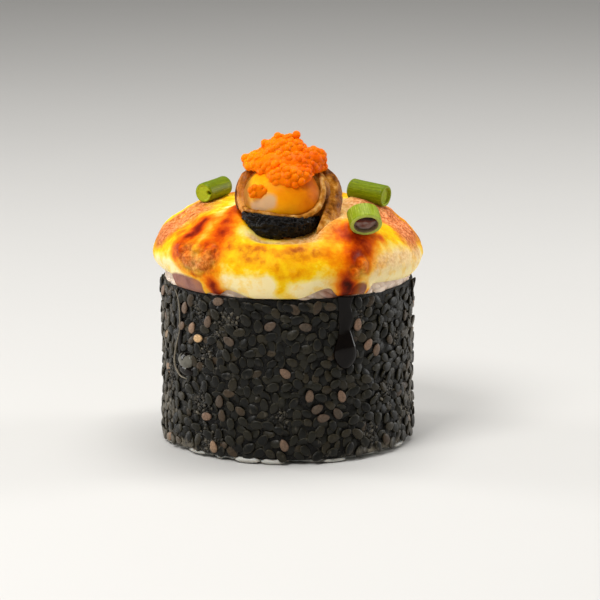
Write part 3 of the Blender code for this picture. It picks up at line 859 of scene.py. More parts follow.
cap = {
    "brim": (27.2, 38.7),
    "rise": 10.1,
    # A higher power makes the dome's shoulders squarer.
    "power": 4.3,
    "rounding": 1 / 1.6,
    # Points of the outline from the brim in to the lip.
    "curl": ((26.95, 37.5), (26.4, 36.5)),
    "lip": (25.75, 35.9),
    "lipInner": 25.0,
    "under": 36.36,
    "lipReach": 1.6,
    # Where the lip sags: angle, half-width that sags evenly, further half-width, drop.
    "sags": ((-5, 9, 9, 2.1), (-30, 0, 12, 0.6), (-49.6, 8, 2.6, 2.1), (-35, 3, 3, 1.4), (30, 7, 2.5, 1.9),
             (72, 0, 26, 1.0), (130, 0, 22, 0.9), (152, 6, 3, 1.2), (185, 0, 25, 1.5), (245, 0, 24, 0.7)),
    "sagMost": 2.2,
    # Sauce films on the sagging lip: angle, half-width, upper edge.
    "films": ((-50.0, 11.2, 37.0), (32.4, 3.6, 36.5), (152, 8, 36.4)),
    # Broad swelling: how much, the size of its lumps, and how fast it turns upwards over the brim.
    "lump": (0.45, 9.0, 1.6),
    # Rounded lumps of salmon-coloured crust: middle, radius, rise.
    "knobs": (((-19.5, -19.3, 40.5), 1.9, 0.75), ((-16.6, -21.2, 40.5), 1.9, 0.75),
              ((-21.0, -16.8, 42.0), 1.0, 0.45), ((-15.3, -20.7, 42.9), 1.3, 0.5),
              ((-18.2, -19.0, 42.6), 1.1, 0.45), ((-18.0, -20.9, 38.5), 1.3, 0.4),
              ((14.9, -22.6, 40.1), 1.6, 0.55), ((13.3, -23.9, 38.7), 1.2, 0.35)),
    # Blisters: angle, distance, half-width, rise.
    "blisters": ((-47, 26.3, 3.2, 0.9), (-56, 25.6, 2.6, 0.7), (28, 25.9, 2.8, 0.8),
                 (96, 22.5, 2.6, 0.6), (-100, 22.0, 3.0, 0.6), (160, 23.5, 3.0, 0.6)),
    # The hollow under the mussel, and mounds that carry the onion: x, y, half-widths, depth.
    # A mound has a negative depth.
    "dents": ((-0.5, -14.0, 11.0, 9.0, 3.0), (16.8, 0.3, 5.0, 4.5, -1.0), (-15.0, 2.8, 4.5, 4.0, -0.35),
              (15.0, -16.8, 4.5, 4.2, -1.1)),
    # Shoulders that have sunk: angle, half-width, depth, how far out they sink most, and their reach.
    "slumps": ((82, 40, 1.65, 22.5, 6.0), (-80, 50, 1.35, 22.0, 2.7), (30, 16, 0.5, 26.0, 8.0)),
    # Beside the mussel the first hollow is filled again, from one x to another, by that share.
    "fill": (4.5, 9.5, 0.7),
    # There the cap climbs the mussel's foot: x, y, half-widths, rise and reach as a share of them.
    "fillet": (0.2, -10.8, 10.4, 9.4, 0.9, 0.15),
    # The wrinkled shoulders: how far out, their reach, and the angles where they begin and are full.
    "shoulder": (21.5, 4.5, 55, 80),
    # The skin's finer relief: depth, size and shift of each layer.
    "relief": ((0.14, 3.0, 5.0), (0.05, 1.1, 2.0)),
    "rings": 150,
    "steps": 460,
}

# What the flame and the sauce did to the cap. Each mark is a path of places, its half-width
# and its strength.
capMarks = {
    "sauce": (
        (((-9.6, -9.5, 48), (-11.8, -14.7, 46.6), (-13.3, -19.2, 45.1), (-15, -20.4, 43.2)), 2.8, 0.75),
        (((-16.5, -11.5, 46.6), (-18, -13.5, 45.6), (-20.3, -15.6, 43.9), (-21.4, -16.4, 41.8)), 2.5, 0.84),
        (((-19.4, -14.8, 44.4), (-20.8, -16, 43)), 1.2, 0.2),
        (((-22.4, -15.6, 40.2), (-21.2, -17.6, 38.2), (-18.5, -20, 37.6), (-15.5, -22, 37.4)), 0.8, 0.42),
        (((-16, -18.8, 43.6), (-14.2, -21.6, 42), (-13.9, -22.6, 39.5)), 1.7, 0.3),
        (((-19, -16.6, 43.4), (-16.6, -20.5, 40)), 4.0, 0.2),
        (((-14.4, -21.8, 36.0), (-13.8, -21.7, 34.4)), 1.8, 1.0),
        (((-21.5, -14.2, 36.8), (-22.1, -13.3, 34.4)), 0.5, 0.85),
        (((11.5, -18.6, 45.6), (13.6, -19.6, 44.6), (15.2, -20.4, 43), (14, -22.4, 41.8)), 3.2, 0.74),
        (((13.8, -20.2, 44.2), (15, -20.8, 42.8), (13.8, -22.8, 42)), 1.6, 0.24),
        (((13.4, -23.2, 41), (12, -24.5, 38), (11.8, -24.1, 37)), 2.2, 0.5),
        (((8.5, -22, 44.2), (9, -24.6, 42), (9.6, -25.2, 39)), 2.2, 0.2),
        (((11.7, -23.9, 36.4), (11.5, -23.4, 35), (11.4, -23.2, 33.8)), 2.2, 1.0),
        (((15.2, -21.6, 37.0), (15.7, -20.5, 34.2)), 0.5, 0.95),
        (((14, -18.4, 45.2), (18.4, -16.2, 43.9)), 1.3, 0.5),
        (((16.6, -20.4, 42.8), (16.4, -21.8, 40.2), (15.8, -22.4, 38.6)), 0.9, 0.28),
        (((20, 12, 45.5), (23.5, 12.5, 43), (25, 12.5, 38)), 1.8, 0.6),
        (((2, 18, 47), (4, 24, 43.5), (4, 27, 39)), 2.2, 0.6),
        (((-15, 14, 46.6), (-18.5, 17, 44), (-20, 18.5, 39)), 1.9, 0.62),
    ),
    "toast": (
        (((-25.2, -7, 42), (-24, -2, 43.5)), 4.0, 0.34),
        (((-22, -9, 45), (-19, -11, 46.2)), 3.0, 0.3),
        (((24.1, -8.5, 42.2), (25, -3, 42)), 3.4, 0.42),
        (((22.6, -5.6, 44.5), (20.2, -3.4, 46.1)), 3.0, 0.4),
        (((14, -3, 48.4), (18, -1, 47), (22, 0, 45), (25, 0, 42)), 2.6, 0.35),
        (((2.5, -27.1, 38.9),), 3.0, 0.14),
        (((-1.4, -26.8, 35.8), (-1.6, -27.1, 37.5)), 1.3, 0.3),
        (((-11, -22, 43.6), (-6, -24.4, 42.6), (2, -25.4, 42.6), (7, -24.6, 42.6)), 2.2, 0.2),
        (((8.5, -20, 45), (11, -17, 46)), 2.0, 0.25),
        (((0, 6, 48.8), (8, 8, 48.6), (12, 12, 48)), 3.5, 0.35),
        (((-8, 8, 48.7), (-12, 12, 48)), 3.0, 0.4),
        (((-4, 20, 46.5), (-2, 25, 42)), 3.0, 0.4),
        (((13, 20, 45), (16, 21.5, 41)), 3.0, 0.45),
        (((24, 8, 43), (26.5, 4, 40)), 2.6, 0.4),
        (((-24, 9, 43), (-26, 5, 40)), 2.8, 0.4),
    ),
    "cream": (
        (((-9.6, -14.5, 45.9), (-8.6, -17.5, 45), (-6, -20, 44.2), (-2.4, -21.2, 44)), 1.5, 0.4),
        (((-9.5, -2, 49), (-12.5, -9, 47.8), (-15.4, -13.8, 46.9), (-17, -17, 45)), 1.3, 0.36),
        (((-26, 8, 37.5), (-21, 17, 37.5), (-11, 25, 37.5)), 2.6, 0.5),
        (((4, 27, 37.5), (16, 22, 37.5), (24.5, 12, 37.5)), 2.6, 0.5),
        (((-26, -8, 37.5), (-24.3, -11.8, 37.5), (-22.5, -15, 37)), 2.6, 0.7),
        (((-12, -24, 36.5), (-9.3, -25.3, 36.6), (-4, -26.6, 36.6)), 1.9, 0.6),
        (((2.5, -27, 35.6), (6.4, -26.1, 36), (9.4, -25.2, 36.2)), 1.9, 0.6),
        (((16.5, -21.5, 37.6), (20.5, -17.5, 39.2), (24.3, -11, 39), (26.5, -5, 38.5)), 3.0, 0.62),
    ),
    "beige": (
        (((3.5, -20, 44.4), (7.5, -17.2, 45.4), (9.8, -13.4, 46.6), (11.4, -9, 47.8), (12.8, -4.5, 48.4)),
         3.2, 1.0),
        (((-7, -19.6, 44.4), (-2.4, -20.8, 44), (3, -20.3, 44.3)), 1.3, 0.8),
        (((13, -1, 48.6), (17, -2.5, 47.6), (19.5, -4, 46.6)), 3.0, 0.9),
        (((9.5, -4, 48.8), (11.5, 1, 49), (8, 4, 49)), 2.6, 0.85),
        (((17.5, -20, 39.4), (20.5, -17, 40), (23.6, -12, 40), (26, -6, 39.4)), 2.8, 0.62),
    ),
    "flush": (
        (((-20.6, -17.6, 41.2), (-19.6, -19, 40.2), (-17.4, -20.8, 39.8), (-15.6, -21.6, 40.6)), 2.8, 1.0),
        (((-15.3, -21.2, 42),), 2.0, 0.95),
        (((-19.4, -18.2, 42.4),), 1.6, 0.85),
        (((14.9, -22.7, 40), (13.4, -23.8, 38.8)), 1.8, 0.85),
        (((-24.6, -6, 42.6), (-22.6, -5, 44.6), (-19.4, -4.6, 46.4), (-16.6, -4.6, 47.4)), 3.6, 1.0),
        (((16.6, -6.4, 46.8), (20.2, -5, 45.6), (22.6, -5.6, 44), (24.4, -7, 42)), 3.6, 1.0),
        (((-25.4, -1, 42.4), (-23.4, 0, 44.2), (-20, 0.5, 46), (-16, 0.5, 47.6)), 3.4, 0.95),
        (((15.5, -0.5, 47.8), (19, 0, 46.4), (22.8, -0.5, 44.6), (25.4, -1, 42.4)), 3.2, 0.95),
        (((-21, 9, 46), (-17, 14, 46.5)), 3.0, 0.5),
        (((16, 14, 46.8), (21, 9, 46)), 3.0, 0.5),
        (((0, 24, 45), (6, 23, 45)), 2.6, 0.5),
    ),
    "speck": (
        (((-11.5, -21.4, 43.8), (-7.9, -23.3, 43.6), (-4.5, -24.3, 43.4)), 1.2, 0.6),
        (((-7.4, -25.4, 41.2), (-5.3, -26.3, 40.8), (-2.6, -27, 40.2)), 1.5, 0.95),
        (((-2.4, -27, 39.6), (-1.8, -27.1, 38.6)), 1.2, 0.8),
        (((1.9, -24.7, 43.5),), 1.3, 0.95),
        (((5.4, -25.1, 42.7),), 1.2, 0.6),
        (((-25.3, -6, 43), (-23.6, -9.5, 43.6)), 2.2, 0.3),
        (((18.6, -15.8, 44), (21.4, -11, 44.4)), 1.4, 0.5),
        (((16.5, 17.5, 45), (20, 15, 43.5)), 2.6, 0.8),
        (((-9, 22, 45), (-12, 23, 42)), 2.6, 0.8),
        (((-23, 12, 43),), 2.2, 0.7),
        (((26, 6, 40.5),), 2.0, 0.6),
    ),
}


def domeHeight(radius):
    brim, height = cap["brim"]
    share = np.minimum(radius / brim, 1.0)
    return height + cap["rise"] * (1 - share ** cap["power"]) ** cap["rounding"]


def capProfile():
    brim = cap["brim"][0]
    radii = brim * np.sin(np.linspace(0, math.pi / 2, 400)) ** 0.7
    dome = [(radius, domeHeight(radius)) for radius in radii]
    shown = evenPath([*dome, *smoothPath([cap["brim"], *cap["curl"], cap["lip"]], 30)[1:]], cap["rings"])
    inner = cap["lipInner"]
    lip = cap["lip"][1]
    return [*shown[:, :2], (25.6, lip - 0.06), (25.35, lip), (inner, lip), (inner, cap["under"]),
            (12.0, cap["under"]), (0.0, cap["under"])]


def capSwell(points):
    amount, size, _ = cap["lump"]
    swell = amount * lumps(points, size)
    for angle, distance, width, rise in cap["blisters"]:
        spot = np.array(outward(angle) * distance)
        spot[2] = domeHeight(distance)
        swell += rise * bell(np.linalg.norm(points - spot, axis=1), width)
    return swell


def capDrop(points):
    drop = np.zeros(len(points))
    for x, y, wide, deep, depth in cap["dents"]:
        away = np.hypot((points[:, 0] - x) / wide, (points[:, 1] - y) / deep)
        hollow = depth * bell(np.maximum(away - 0.7, 0), 0.3)
        near, distant, share = cap["fill"]
        beside = ramp(np.abs(points[:, 0] - x), near, distant) if y < -10 else 0.0
        drop += hollow * (1 - share * beside)
    x, y, wide, deep, rise, reach = cap["fillet"]
    away = np.hypot((points[:, 0] - x) / wide, (points[:, 1] - y) / deep)
    drop -= rise * bell(away - 1, reach) * ramp(np.abs(points[:, 0] - x), 3, 8)
    far = np.linalg.norm(points[:, :2], axis=1)
    for at, width, depth, distance, reach in cap["slumps"]:
        drop += depth * bell(turnBetween(anglesOf(points), at), width) * bell(far - distance, reach)
    return drop


def marksOn(points, kind):
    # Where marks of one kind overlap, each takes its share of what the others leave.
    bare = np.ones(len(points))
    for path, width, strength in capMarks[kind]:
        bare *= 1 - strength * nearness(points, path, width)
    return 1 - bare


def filmsOn(points, angles):
    covered = np.zeros(len(points))
    for at, width, top in cap["films"]:
        aside = turnBetween(angles, at) / width
        edge = top - 0.8 * aside**2
        within = 1 - ramp(aside, 0.92, 1.08)
        covered = np.maximum(covered, within * (1 - ramp(points[:, 2], edge - 0.8, edge + 0.8)))
    return covered


def knobsOn(points):
    # How far the uneven lumps rise, and where the soft creases round them run.
    rise = np.zeros(len(points))
    seam = np.zeros(len(points))
    uneven = 1 + 0.25 * lumps(points, 1.7, 9.0)
    for middle, radius, height in cap["knobs"]:
        away = uneven * np.linalg.norm(points - np.array(middle), axis=1) / radius
        rise = np.maximum(rise, height * np.maximum(1 - away**2, 0) ** 0.75)
        seam = np.maximum(seam, bell(away - 1.1, 0.28))
    return rise, seam * (1 - ramp(rise, 0.1, 0.35))


def wrinkles(points):
    # Long folds of the skin that run down the shoulders.
    angles = np.radians(anglesOf(points))
    far = np.linalg.norm(points[:, :2], axis=1)
    skin = np.stack((np.cos(angles) * 15, np.sin(angles) * 15, far / 5), axis=1)
    return 1 - 2 * np.abs(lumps(skin, 1.0, 3.0)) + 0.5 * lumps(skin, 0.5, 9.0)


def crustMaterial():
    material, tree, shader = newMaterial("bakedCrust", {
        "Roughness": 0.4, "Specular IOR Level": 0.06, "Subsurface Weight": 0.12, "Subsurface Scale": mm,
        "Subsurface Radius": (1.3, 0.7, 0.25),
    })
    place = ownPlace(tree)
    mottle = grainOn(tree, place, 420.0, 0.2)
    fine = grainOn(tree, place, 1700.0, 0.5)
    uneven = calc(tree, "MULTIPLY", calc(tree, "SUBTRACT", mottle["Mottle"], 0.5), 0.22)
    burnt = calc(tree, "MULTIPLY", ragged(tree, "speck", place, 850.0, 1.2, 0.45), 0.19)
    toast = calc(tree, "ADD", calc(tree, "ADD", painted(tree, "toast"), uneven), burnt)
    skin = colours(tree, toast, (
        (0.0, (255, 232, 172)), (0.2, (254, 224, 112)), (0.4, (250, 200, 16)),
        (0.62, (238, 164, 2)), (0.82, (190, 104, 4)), (1.0, (120, 52, 8)),
    ))
    beige = ragged(tree, "beige", place, 500.0, 0.8, 0.45)
    sand = colours(tree, fine["Mottle"], ((0.0, (198, 138, 76)), (0.5, (226, 172, 110)),
                                          (1.0, (244, 204, 150))))
    sanded = mixed(tree, calc(tree, "MULTIPLY", beige, 0.9), skin, sand)
    flush = ragged(tree, "flush", place, 420.0, 0.7, 0.35)
    pink = colours(tree, fine["Mottle"], ((0.0, (150, 72, 34)), (0.5, (194, 110, 62)),
                                          (1.0, (226, 152, 104))))
    pinked = mixed(tree, calc(tree, "MULTIPLY", flush, 0.92), sanded, pink)
    glaze = colours(tree, mottle["Mottle"], ((0.0, (138, 92, 80)), (1.0, (172, 126, 114))))
    glazed = mixed(tree, ragged(tree, "film", place, 450.0, 0.5, 0.3), pinked, glaze)
    depth = calc(tree, "ADD", painted(tree, "sauce"), calc(tree, "MULTIPLY", uneven, 0.8))
    # The sauce stains what it lies on, from clear through orange to brown.
    stain = colours(tree, depth, ((0.0, (255, 255, 255)), (0.22, (252, 214, 130)), (0.45, (240, 150, 46)),
                                  (0.68, (196, 88, 16)), (0.84, (132, 40, 8)), (1.0, (48, 14, 6))))
    # Painted light and shade of the relief.
    reliefShaded = shifted(tree, glazed, painted(tree, "reliefShade"), 1.1)
    plug(tree, mixed(tree, 1.0, reliefShaded, stain, "MULTIPLY"), shader["Base Color"])
    plug(tree, spread(tree, depth, 0.1, 0.6, 0.46, 0.36), shader["Roughness"])
    rough = calc(tree, "MULTIPLY", fine["Height"], spread(tree, depth, 0.15, 0.6, 1.0, 0.25))
    plug(tree, bumped(tree, rough, 0.16, 0.6), shader["Normal"])
    return material


def buildCap():
    mesh = meshFrom("bakedCap", turned(capProfile(), cap["steps"]))
    points = pointsOf(mesh)
    place = points.copy()
    far = np.linalg.norm(place[:, :2], axis=1)
    lip = cap["lip"][1]
    inside = far < cap["lipInner"] + 0.02
    ceiling = inside & (place[:, 2] > lip + 0.02) & (place[:, 2] < cap["under"] + 0.02)
    hang = np.where(inside & (place[:, 2] < cap["under"]), 1.0, bell(place[:, 2] - lip, cap["lipReach"]))
    away = place * (1, 1, 0)
    away[:, 2] = (place[:, 2] - cap["brim"][1]) * cap["lump"][2]
    away /= np.maximum(np.linalg.norm(away, axis=1), 0.001)[:, None]

    # The lip first, then the skin's own relief on the shape that this gives.
    moved = place + away * (capSwell(place) * (1 - hang))[:, None]
    moved[:, 2] -= capDrop(place) * (1 - hang)
    angles = anglesOf(place)
    sag = np.zeros(len(place))
    for at, even, width, drop in cap["sags"]:
        sag += drop * bell(np.maximum(turnBetween(angles, at) - even, 0), width)
    moved[:, 2] -= np.minimum(sag, cap["sagMost"]) * hang
    sauce = marksOn(moved, "sauce")
    flush = marksOn(moved, "flush")
    distance, reach, begins, full = cap["shoulder"]
    shoulder = bell(far - distance, reach) * ramp(turnBetween(angles, 0), begins, full)
    relief = sum(depth * lumps(moved, size, shift) for depth, size, shift in cap["relief"])
    folds = wrinkles(moved)
    relief += 0.4 * shoulder * folds
    knobs, seams = knobsOn(moved)
    relief += 0.12 * sauce
    relief *= ramp(place[:, 2], cap["under"] + 0.02, 38.0) * (1 - 0.5 * sauce)
    relief += knobs - 0.14 * seams + 0.15 * flush * (1 - shoulder) * lumps(moved, 1.4, 7.0)
    moved += away * relief[:, None]
    moved[ceiling] = place[ceiling]
    setPoints(mesh, moved)

    low = 1 - ramp(moved[:, 2], 35.2, 39.2)
    broad = lumps(moved, 5.5, 1.0)
    toast = 0.42 + 0.16 * broad + marksOn(moved, "toast") - marksOn(moved, "cream") - 0.26 * low
    paint(mesh, "toast", toast + 0.06 * shoulder * folds)
    paint(mesh, "sauce", sauce * (1 - 0.55 * flush * (1 - shoulder)))
    paint(mesh, "flush", flush * (0.8 + 0.25 * folds * shoulder))
    paint(mesh, "beige", marksOn(moved, "beige"))
    # Painted light and shade of the relief: fold ridges and knob tops lighter, fold hollows and the creases
    # round the knobs darker.
    paint(mesh, "reliefShade", 0.5 + 0.45 * shoulder * folds + 0.1 * knobs - 0.2 * seams)
    paint(mesh, "film", filmsOn(moved, angles))
    paint(mesh, "speck", marksOn(moved, "speck"))
    addPiece(mesh, crustMaterial(), "baked_crust", "baked_cap")


buildCap()
print("Baked cap")


# Mussel

mussel = {
    "back": ((0.2, -9.6, 50.0), (9.8, 6.6, 8.7)),
    "belly": ((-0.9, -12.7, 51.8), (7.8, 6.9, 6.3)),
    # The frill's ball, and the point and way of the plane that cuts it.
    "frill": ((-1.4, -13.9, 47.9), (7.4, 6.8, 4.9)),
    "frillCut": ((-1.4, -13.9, 48.5), (0.07, 0.1, 1.0)),
    # Rows of x, y, z, half-width and half-thickness.
    "rightFold": ((6.4, -9.4, 57.0, 0.9, 0.5), (8.0, -10.2, 55.2, 1.7, 0.8), (9.0, -11.0, 53.0, 2.0, 0.9),
                  (9.2, -12.2, 50.8, 1.9, 0.9), (8.8, -14.0, 48.8, 1.9, 0.85), (8.1, -15.7, 47.2, 1.8, 0.75),
                  (7.2, -17.0, 45.9, 1.5, 0.6), (6.4, -17.8, 44.7, 1.0, 0.4)),
    "innerFold": ((6.3, -11.8, 56.3, 0.35, 0.4), (6.9, -12.9, 54.6, 0.55, 0.55),
                  (7.0, -14.1, 52.6, 0.65, 0.6), (6.4, -15.6, 50.8, 0.7, 0.65),
                  (5.0, -17.2, 49.5, 0.65, 0.6), (2.6, -18.7, 48.8, 0.5, 0.45),
                  (-0.8, -19.3, 49.0, 0.45, 0.4), (-4.4, -18.7, 49.5, 0.45, 0.4),
                  (-7.4, -16.3, 49.6, 0.4, 0.35), (-8.7, -13.8, 49.9, 0.3, 0.3)),
    "leftFold": ((-7.2, -9.4, 56.5, 0.5, 0.4), (-8.4, -9.8, 55.2, 1.0, 0.6),
                 (-8.9, -10.3, 53.6, 1.15, 0.65), (-9.1, -11.2, 51.8, 1.15, 0.65),
                 (-9.0, -12.4, 50.1, 1.05, 0.6), (-8.5, -13.8, 48.8, 0.7, 0.45)),
    "leftRim": ((-7.6, -8.8, 56.8, 0.18, 0.18), (-9.2, -9.3, 55.0, 0.28, 0.26),
                (-10.05, -10.1, 53.0, 0.28, 0.26), (-10.2, -11.3, 50.8, 0.28, 0.26),
                (-9.8, -12.4, 49.2, 0.18, 0.18)),
    # The frill's two sizes of folds, and how deep they are.
    "frillFolds": (1.4, 0.55, 0.5),
}


def flesh(mesh, size, depth, shift):
    # Soft uneven swelling all over a piece of flesh, out along its own normals.
    points = pointsOf(mesh)
    normals = np.array([vert.normal for vert in mesh.vertices])
    swell = depth * (lumps(points, size, shift) + 0.4 * lumps(points, size / 2.6, shift + 4))
    setPoints(mesh, points + normals * swell[:, None])
    return pointsOf(mesh)


def wetMaterial(name, stops, roughness, fineScale, relief, settings):
    # Coarse and fine mottling add to the painted shade.
    material, tree, shader = newMaterial(name, {"Roughness": roughness, "Subsurface Scale": mm, **settings})
    place = ownPlace(tree)
    coarse = grainOn(tree, place, 520.0, 0.2)
    fine = grainOn(tree, place, fineScale, 0.3)
    mottle = calc(tree, "ADD", calc(tree, "MULTIPLY", coarse["Mottle"], 0.3),
                  calc(tree, "MULTIPLY", fine["Mottle"], 0.2))
    share = calc(tree, "ADD", mottle, calc(tree, "MULTIPLY", painted(tree, "shade"), 0.8))
    plug(tree, colours(tree, share, stops), shader["Base Color"])
    plug(tree, spread(tree, fine["Mottle"], 0, 1, roughness * 0.7, roughness * 1.4), shader["Roughness"])
    plug(tree, bumped(tree, fine["Height"], relief, 0.7), shader["Normal"])
    return material


def bellyMaterial():
    material, tree, shader = newMaterial("musselBelly", {
        "Roughness": 0.45, "Specular IOR Level": 0.05, "Subsurface Weight": 0.3, "Subsurface Scale": mm,
        "Subsurface Radius": (1.6, 0.9, 0.2),
    })
    place = ownPlace(tree)
    mottle = grainOn(tree, place, 330.0, 0.1)
    # The flesh's own hue, with painted light and shade.
    warmthAndShade = calc(tree, "ADD", calc(tree, "MULTIPLY", mottle["Mottle"], 0.25), painted(tree, "warmthAndShade"))
    base = colours(tree, warmthAndShade, ((0.0, (250, 190, 20)), (0.45, (242, 152, 4)), (0.8, (232, 128, 3)),
                                (1.0, (206, 102, 6))))
    pale = ragged(tree, "pale", place, 420.0, 0.6, 0.35)
    patched = mixed(tree, pale, base, tint(212, 170, 126))
    rim = ragged(tree, "rim", place, 500.0, 0.4, 0.4)
    plug(tree, mixed(tree, rim, patched, tint(164, 104, 34)), shader["Base Color"])
    fine = grainOn(tree, place, 1300.0, 0.2)
    plug(tree, bumped(tree, fine["Height"], 0.06, 0.4), shader["Normal"])
    return material


def buildMussel():
    soft = {"Specular IOR Level": 0.1, "Subsurface Weight": 0.15, "Subsurface Radius": (1.0, 0.6, 0.25)}
    mantle = wetMaterial("musselMantle", (
        (0.0, (48, 22, 2)), (0.25, (96, 50, 4)), (0.5, (146, 86, 14)), (0.75, (190, 128, 44)),
        (1.0, (222, 180, 110)),
    ), 0.34, 1500.0, 0.14, soft)
    paler = wetMaterial("musselMantleEdge", (
        (0.0, (60, 34, 8)), (0.3, (124, 70, 14)), (0.6, (180, 104, 24)), (1.0, (214, 150, 70)),
    ), 0.34, 1500.0, 0.12, soft)
    centre, radii = mussel["back"]
    back = meshFrom("musselBack", ball(radii, 96, 60, Matrix.Translation(centre)))
    points = flesh(back, 3.6, 0.2, 2.0)
    # Painted shade: dark low at the front, so that the groove between the folds stays dark.
    lit = np.maximum(0.3 * ramp(points[:, 1], -13, -6), 0.4 * ramp(points[:, 2], 52.5, 56))
    paint(back, "shade", 0.12 + lit + 0.3 * lumps(points, 3.0, 6.0))
    addPiece(back, mantle, "mussel_flesh", "mussel")

    centre, radii = mussel["belly"]
    belly = meshFrom("musselBelly", ball(radii, 110, 70, Matrix.Translation(centre)))
    points = flesh(belly, 4.5, 0.22, 8.0)
    x, z = points[:, 0], points[:, 2]
    # Yellower and brighter to the left and low down, deeper orange to the right and high up: the flesh's own
    # hue with painted light and shade.
    paint(belly, "warmthAndShade", 0.45 + 0.07 * (x - 0.5) + 0.05 * (z - 52))
    paleStreak = ((-6.4, -17.3, 50.6), (-4.4, -18.6, 51.4), (-3.4, -19, 52))
    paint(belly, "pale", 1.1 * nearness(points, paleStreak, 1.5))
    paint(belly, "rim", ramp(x, 4.8, 7.2) * 0.9 + ramp(-x, 6.0, 8.2) * 0.8 + (1 - ramp(z, 48.6, 50.2)) * 0.7)
    addPiece(belly, bellyMaterial(), "mussel_flesh", "mussel")

    for name, facing, shade, skin in (
        ("rightFold", (0.5, -0.8, 0.2), 0.3, mantle), ("innerFold", (0.3, -0.9, 0), 0.5, mantle),
        ("leftFold", (-0.5, -0.85, 0), 0.35, paler), ("leftRim", (0, -1, 0), 0.05, mantle),
    ):
        bm = bmesh.new()
        sweep(bm, mussel[name], facing, 90, 36)
        fold = meshFrom("mussel" + name[0].upper() + name[1:], bm)
        thin = name == "leftRim"
        points = flesh(fold, 1.5, 0.02 if thin else 0.16, 3.0)
        shades = shade + (0 if thin else 0.4) * lumps(points, 1.6, 5.0)
        if name == "leftFold":
            shades += 0.4 * ramp(-points[:, 2], -55, -50)
        if name == "rightFold":
            shades += 0.45 * ramp(-points[:, 2], -50, -46.5)
        paint(fold, "shade", shades)
        addPiece(fold, skin, "mussel_flesh", "mussel")

    skin = wetMaterial("musselFrill", ((0.0, (3, 2, 1)), (0.7, (7, 4, 2)), (1.0, (20, 13, 7))),
                       0.1, 2200.0, 0.45, {"Specular IOR Level": 0.22})
    centre, radii = mussel["frill"]
    bm = ball(radii, 300, 160, Matrix.Translation(centre))
    whole = bm.verts[:] + bm.edges[:] + bm.faces[:]
    spot, way = mussel["frillCut"]
    bmesh.ops.bisect_plane(bm, geom=whole, plane_co=spot, plane_no=way, clear_outer=True)
    bmesh.ops.holes_fill(bm, edges=[edge for edge in bm.edges if edge.is_boundary], sides=0)
    frill = meshFrom("musselFrill", bm)
    points = pointsOf(frill)
    normals = np.array([vert.normal for vert in frill.vertices])
    broad, fine, deep = mussel["frillFolds"]
    folds = 1 - 2 * np.abs(lumps(points * (0.8, 1, 1.3), broad, 2.0))
    folds += 0.7 * (1 - 2 * np.abs(lumps(points, fine, 6.0)))
    setPoints(frill, points + normals * (deep * (folds - 0.8))[:, None])
    paint(frill, "shade", 0.3 * folds)
    addPiece(frill, skin, "mussel_flesh", "mussel")


buildMussel()
print("Mussel")


# Fish roe

roe = {
    "egg": 0.95,
    "gap": 1.32,
    "lift": (-0.72, -0.35),
    "toneChange": 0.08,
    "heap": (((-0.6, -10.2, 57.6), (8.0, 6.2, 4.0)), ((-0.6, -9.6, 59.8), (4.7, 4.5, 3.6)),
             ((0.4, -15.2, 56.0), (5.0, 3.7, 2.9)), ((4.5, -10.4, 58.9), (3.1, 3.4, 2.4))),
    "clump": (((-5.8, -18.2, 53.8), (1.7, 0.7, 1.35)),),
    # Eggs that break the outline.
    "strays": ((-4.5, -10.0, 62.1), (-1.9, -9.8, 63.4), (0.5, -9.8, 63.2), (1.8, -9.8, 63.7),
               (5.4, -10.0, 60.5), (6.5, -10.2, 59.7), (7.0, -10.4, 58.8), (7.2, -10.6, 57.4),
               (-6.4, -10.2, 59.9), (-8.3, -10.2, 59.0), (-7.8, -11.2, 57.8)),
    # The heap's lower edge, seen from the front: rows of x and the lowest height of an egg.
    "hem": ((-9.5, 57.6), (-6.1, 57.6), (-5.3, 57.1), (-3.3, 56.5), (-3.0, 55.6), (-1.4, 55.0), (1.1, 54.9),
            (3.1, 55.5), (4.6, 56.2), (4.9, 57.0), (9.5, 57.0)),
    "hemBehind": 55.0,
    # Deeper orange on the right, painted shade, and paler on the left and top, painted light: place,
    # half-width, change of tone.
    "tones": (((5.0, -14.0, 58.0), 4.5, -0.45), ((-7.5, -11.0, 58.5), 3.0, 0.4), ((-1, -13, 61), 4.0, 0.1)),
}


def roeMaterial():
    material, tree, shader = newMaterial("fishRoe", {
        "Roughness": 0.35, "Specular IOR Level": 0.05, "Subsurface Weight": 0.35, "Subsurface Scale": mm,
        "Subsurface Radius": (1.0, 0.5, 0.1),
    })
    place = ownPlace(tree)
    grain = grainOn(tree, place, 500.0, 0.0)
    toned = calc(tree, "ADD", calc(tree, "MULTIPLY", painted(tree, "tone"), 0.8),
                 calc(tree, "MULTIPLY", grain["Mottle"], 0.2))
    base = colours(tree, toned, ((0.0, (222, 82, 0)), (0.45, (248, 118, 0)), (0.75, (254, 136, 0)),
                                 (1.0, (255, 166, 14))))
    plug(tree, base, shader["Base Color"])
    plug(tree, bumped(tree, grain["Height"], 0.04, 0.3), shader["Normal"])
    return material


def depthIn(point, centre, radii):
    # 0 at the middle of the lobe and 1 on its surface.
    return Vector((p - c) / r for p, c, r in zip(point, centre, radii)).length


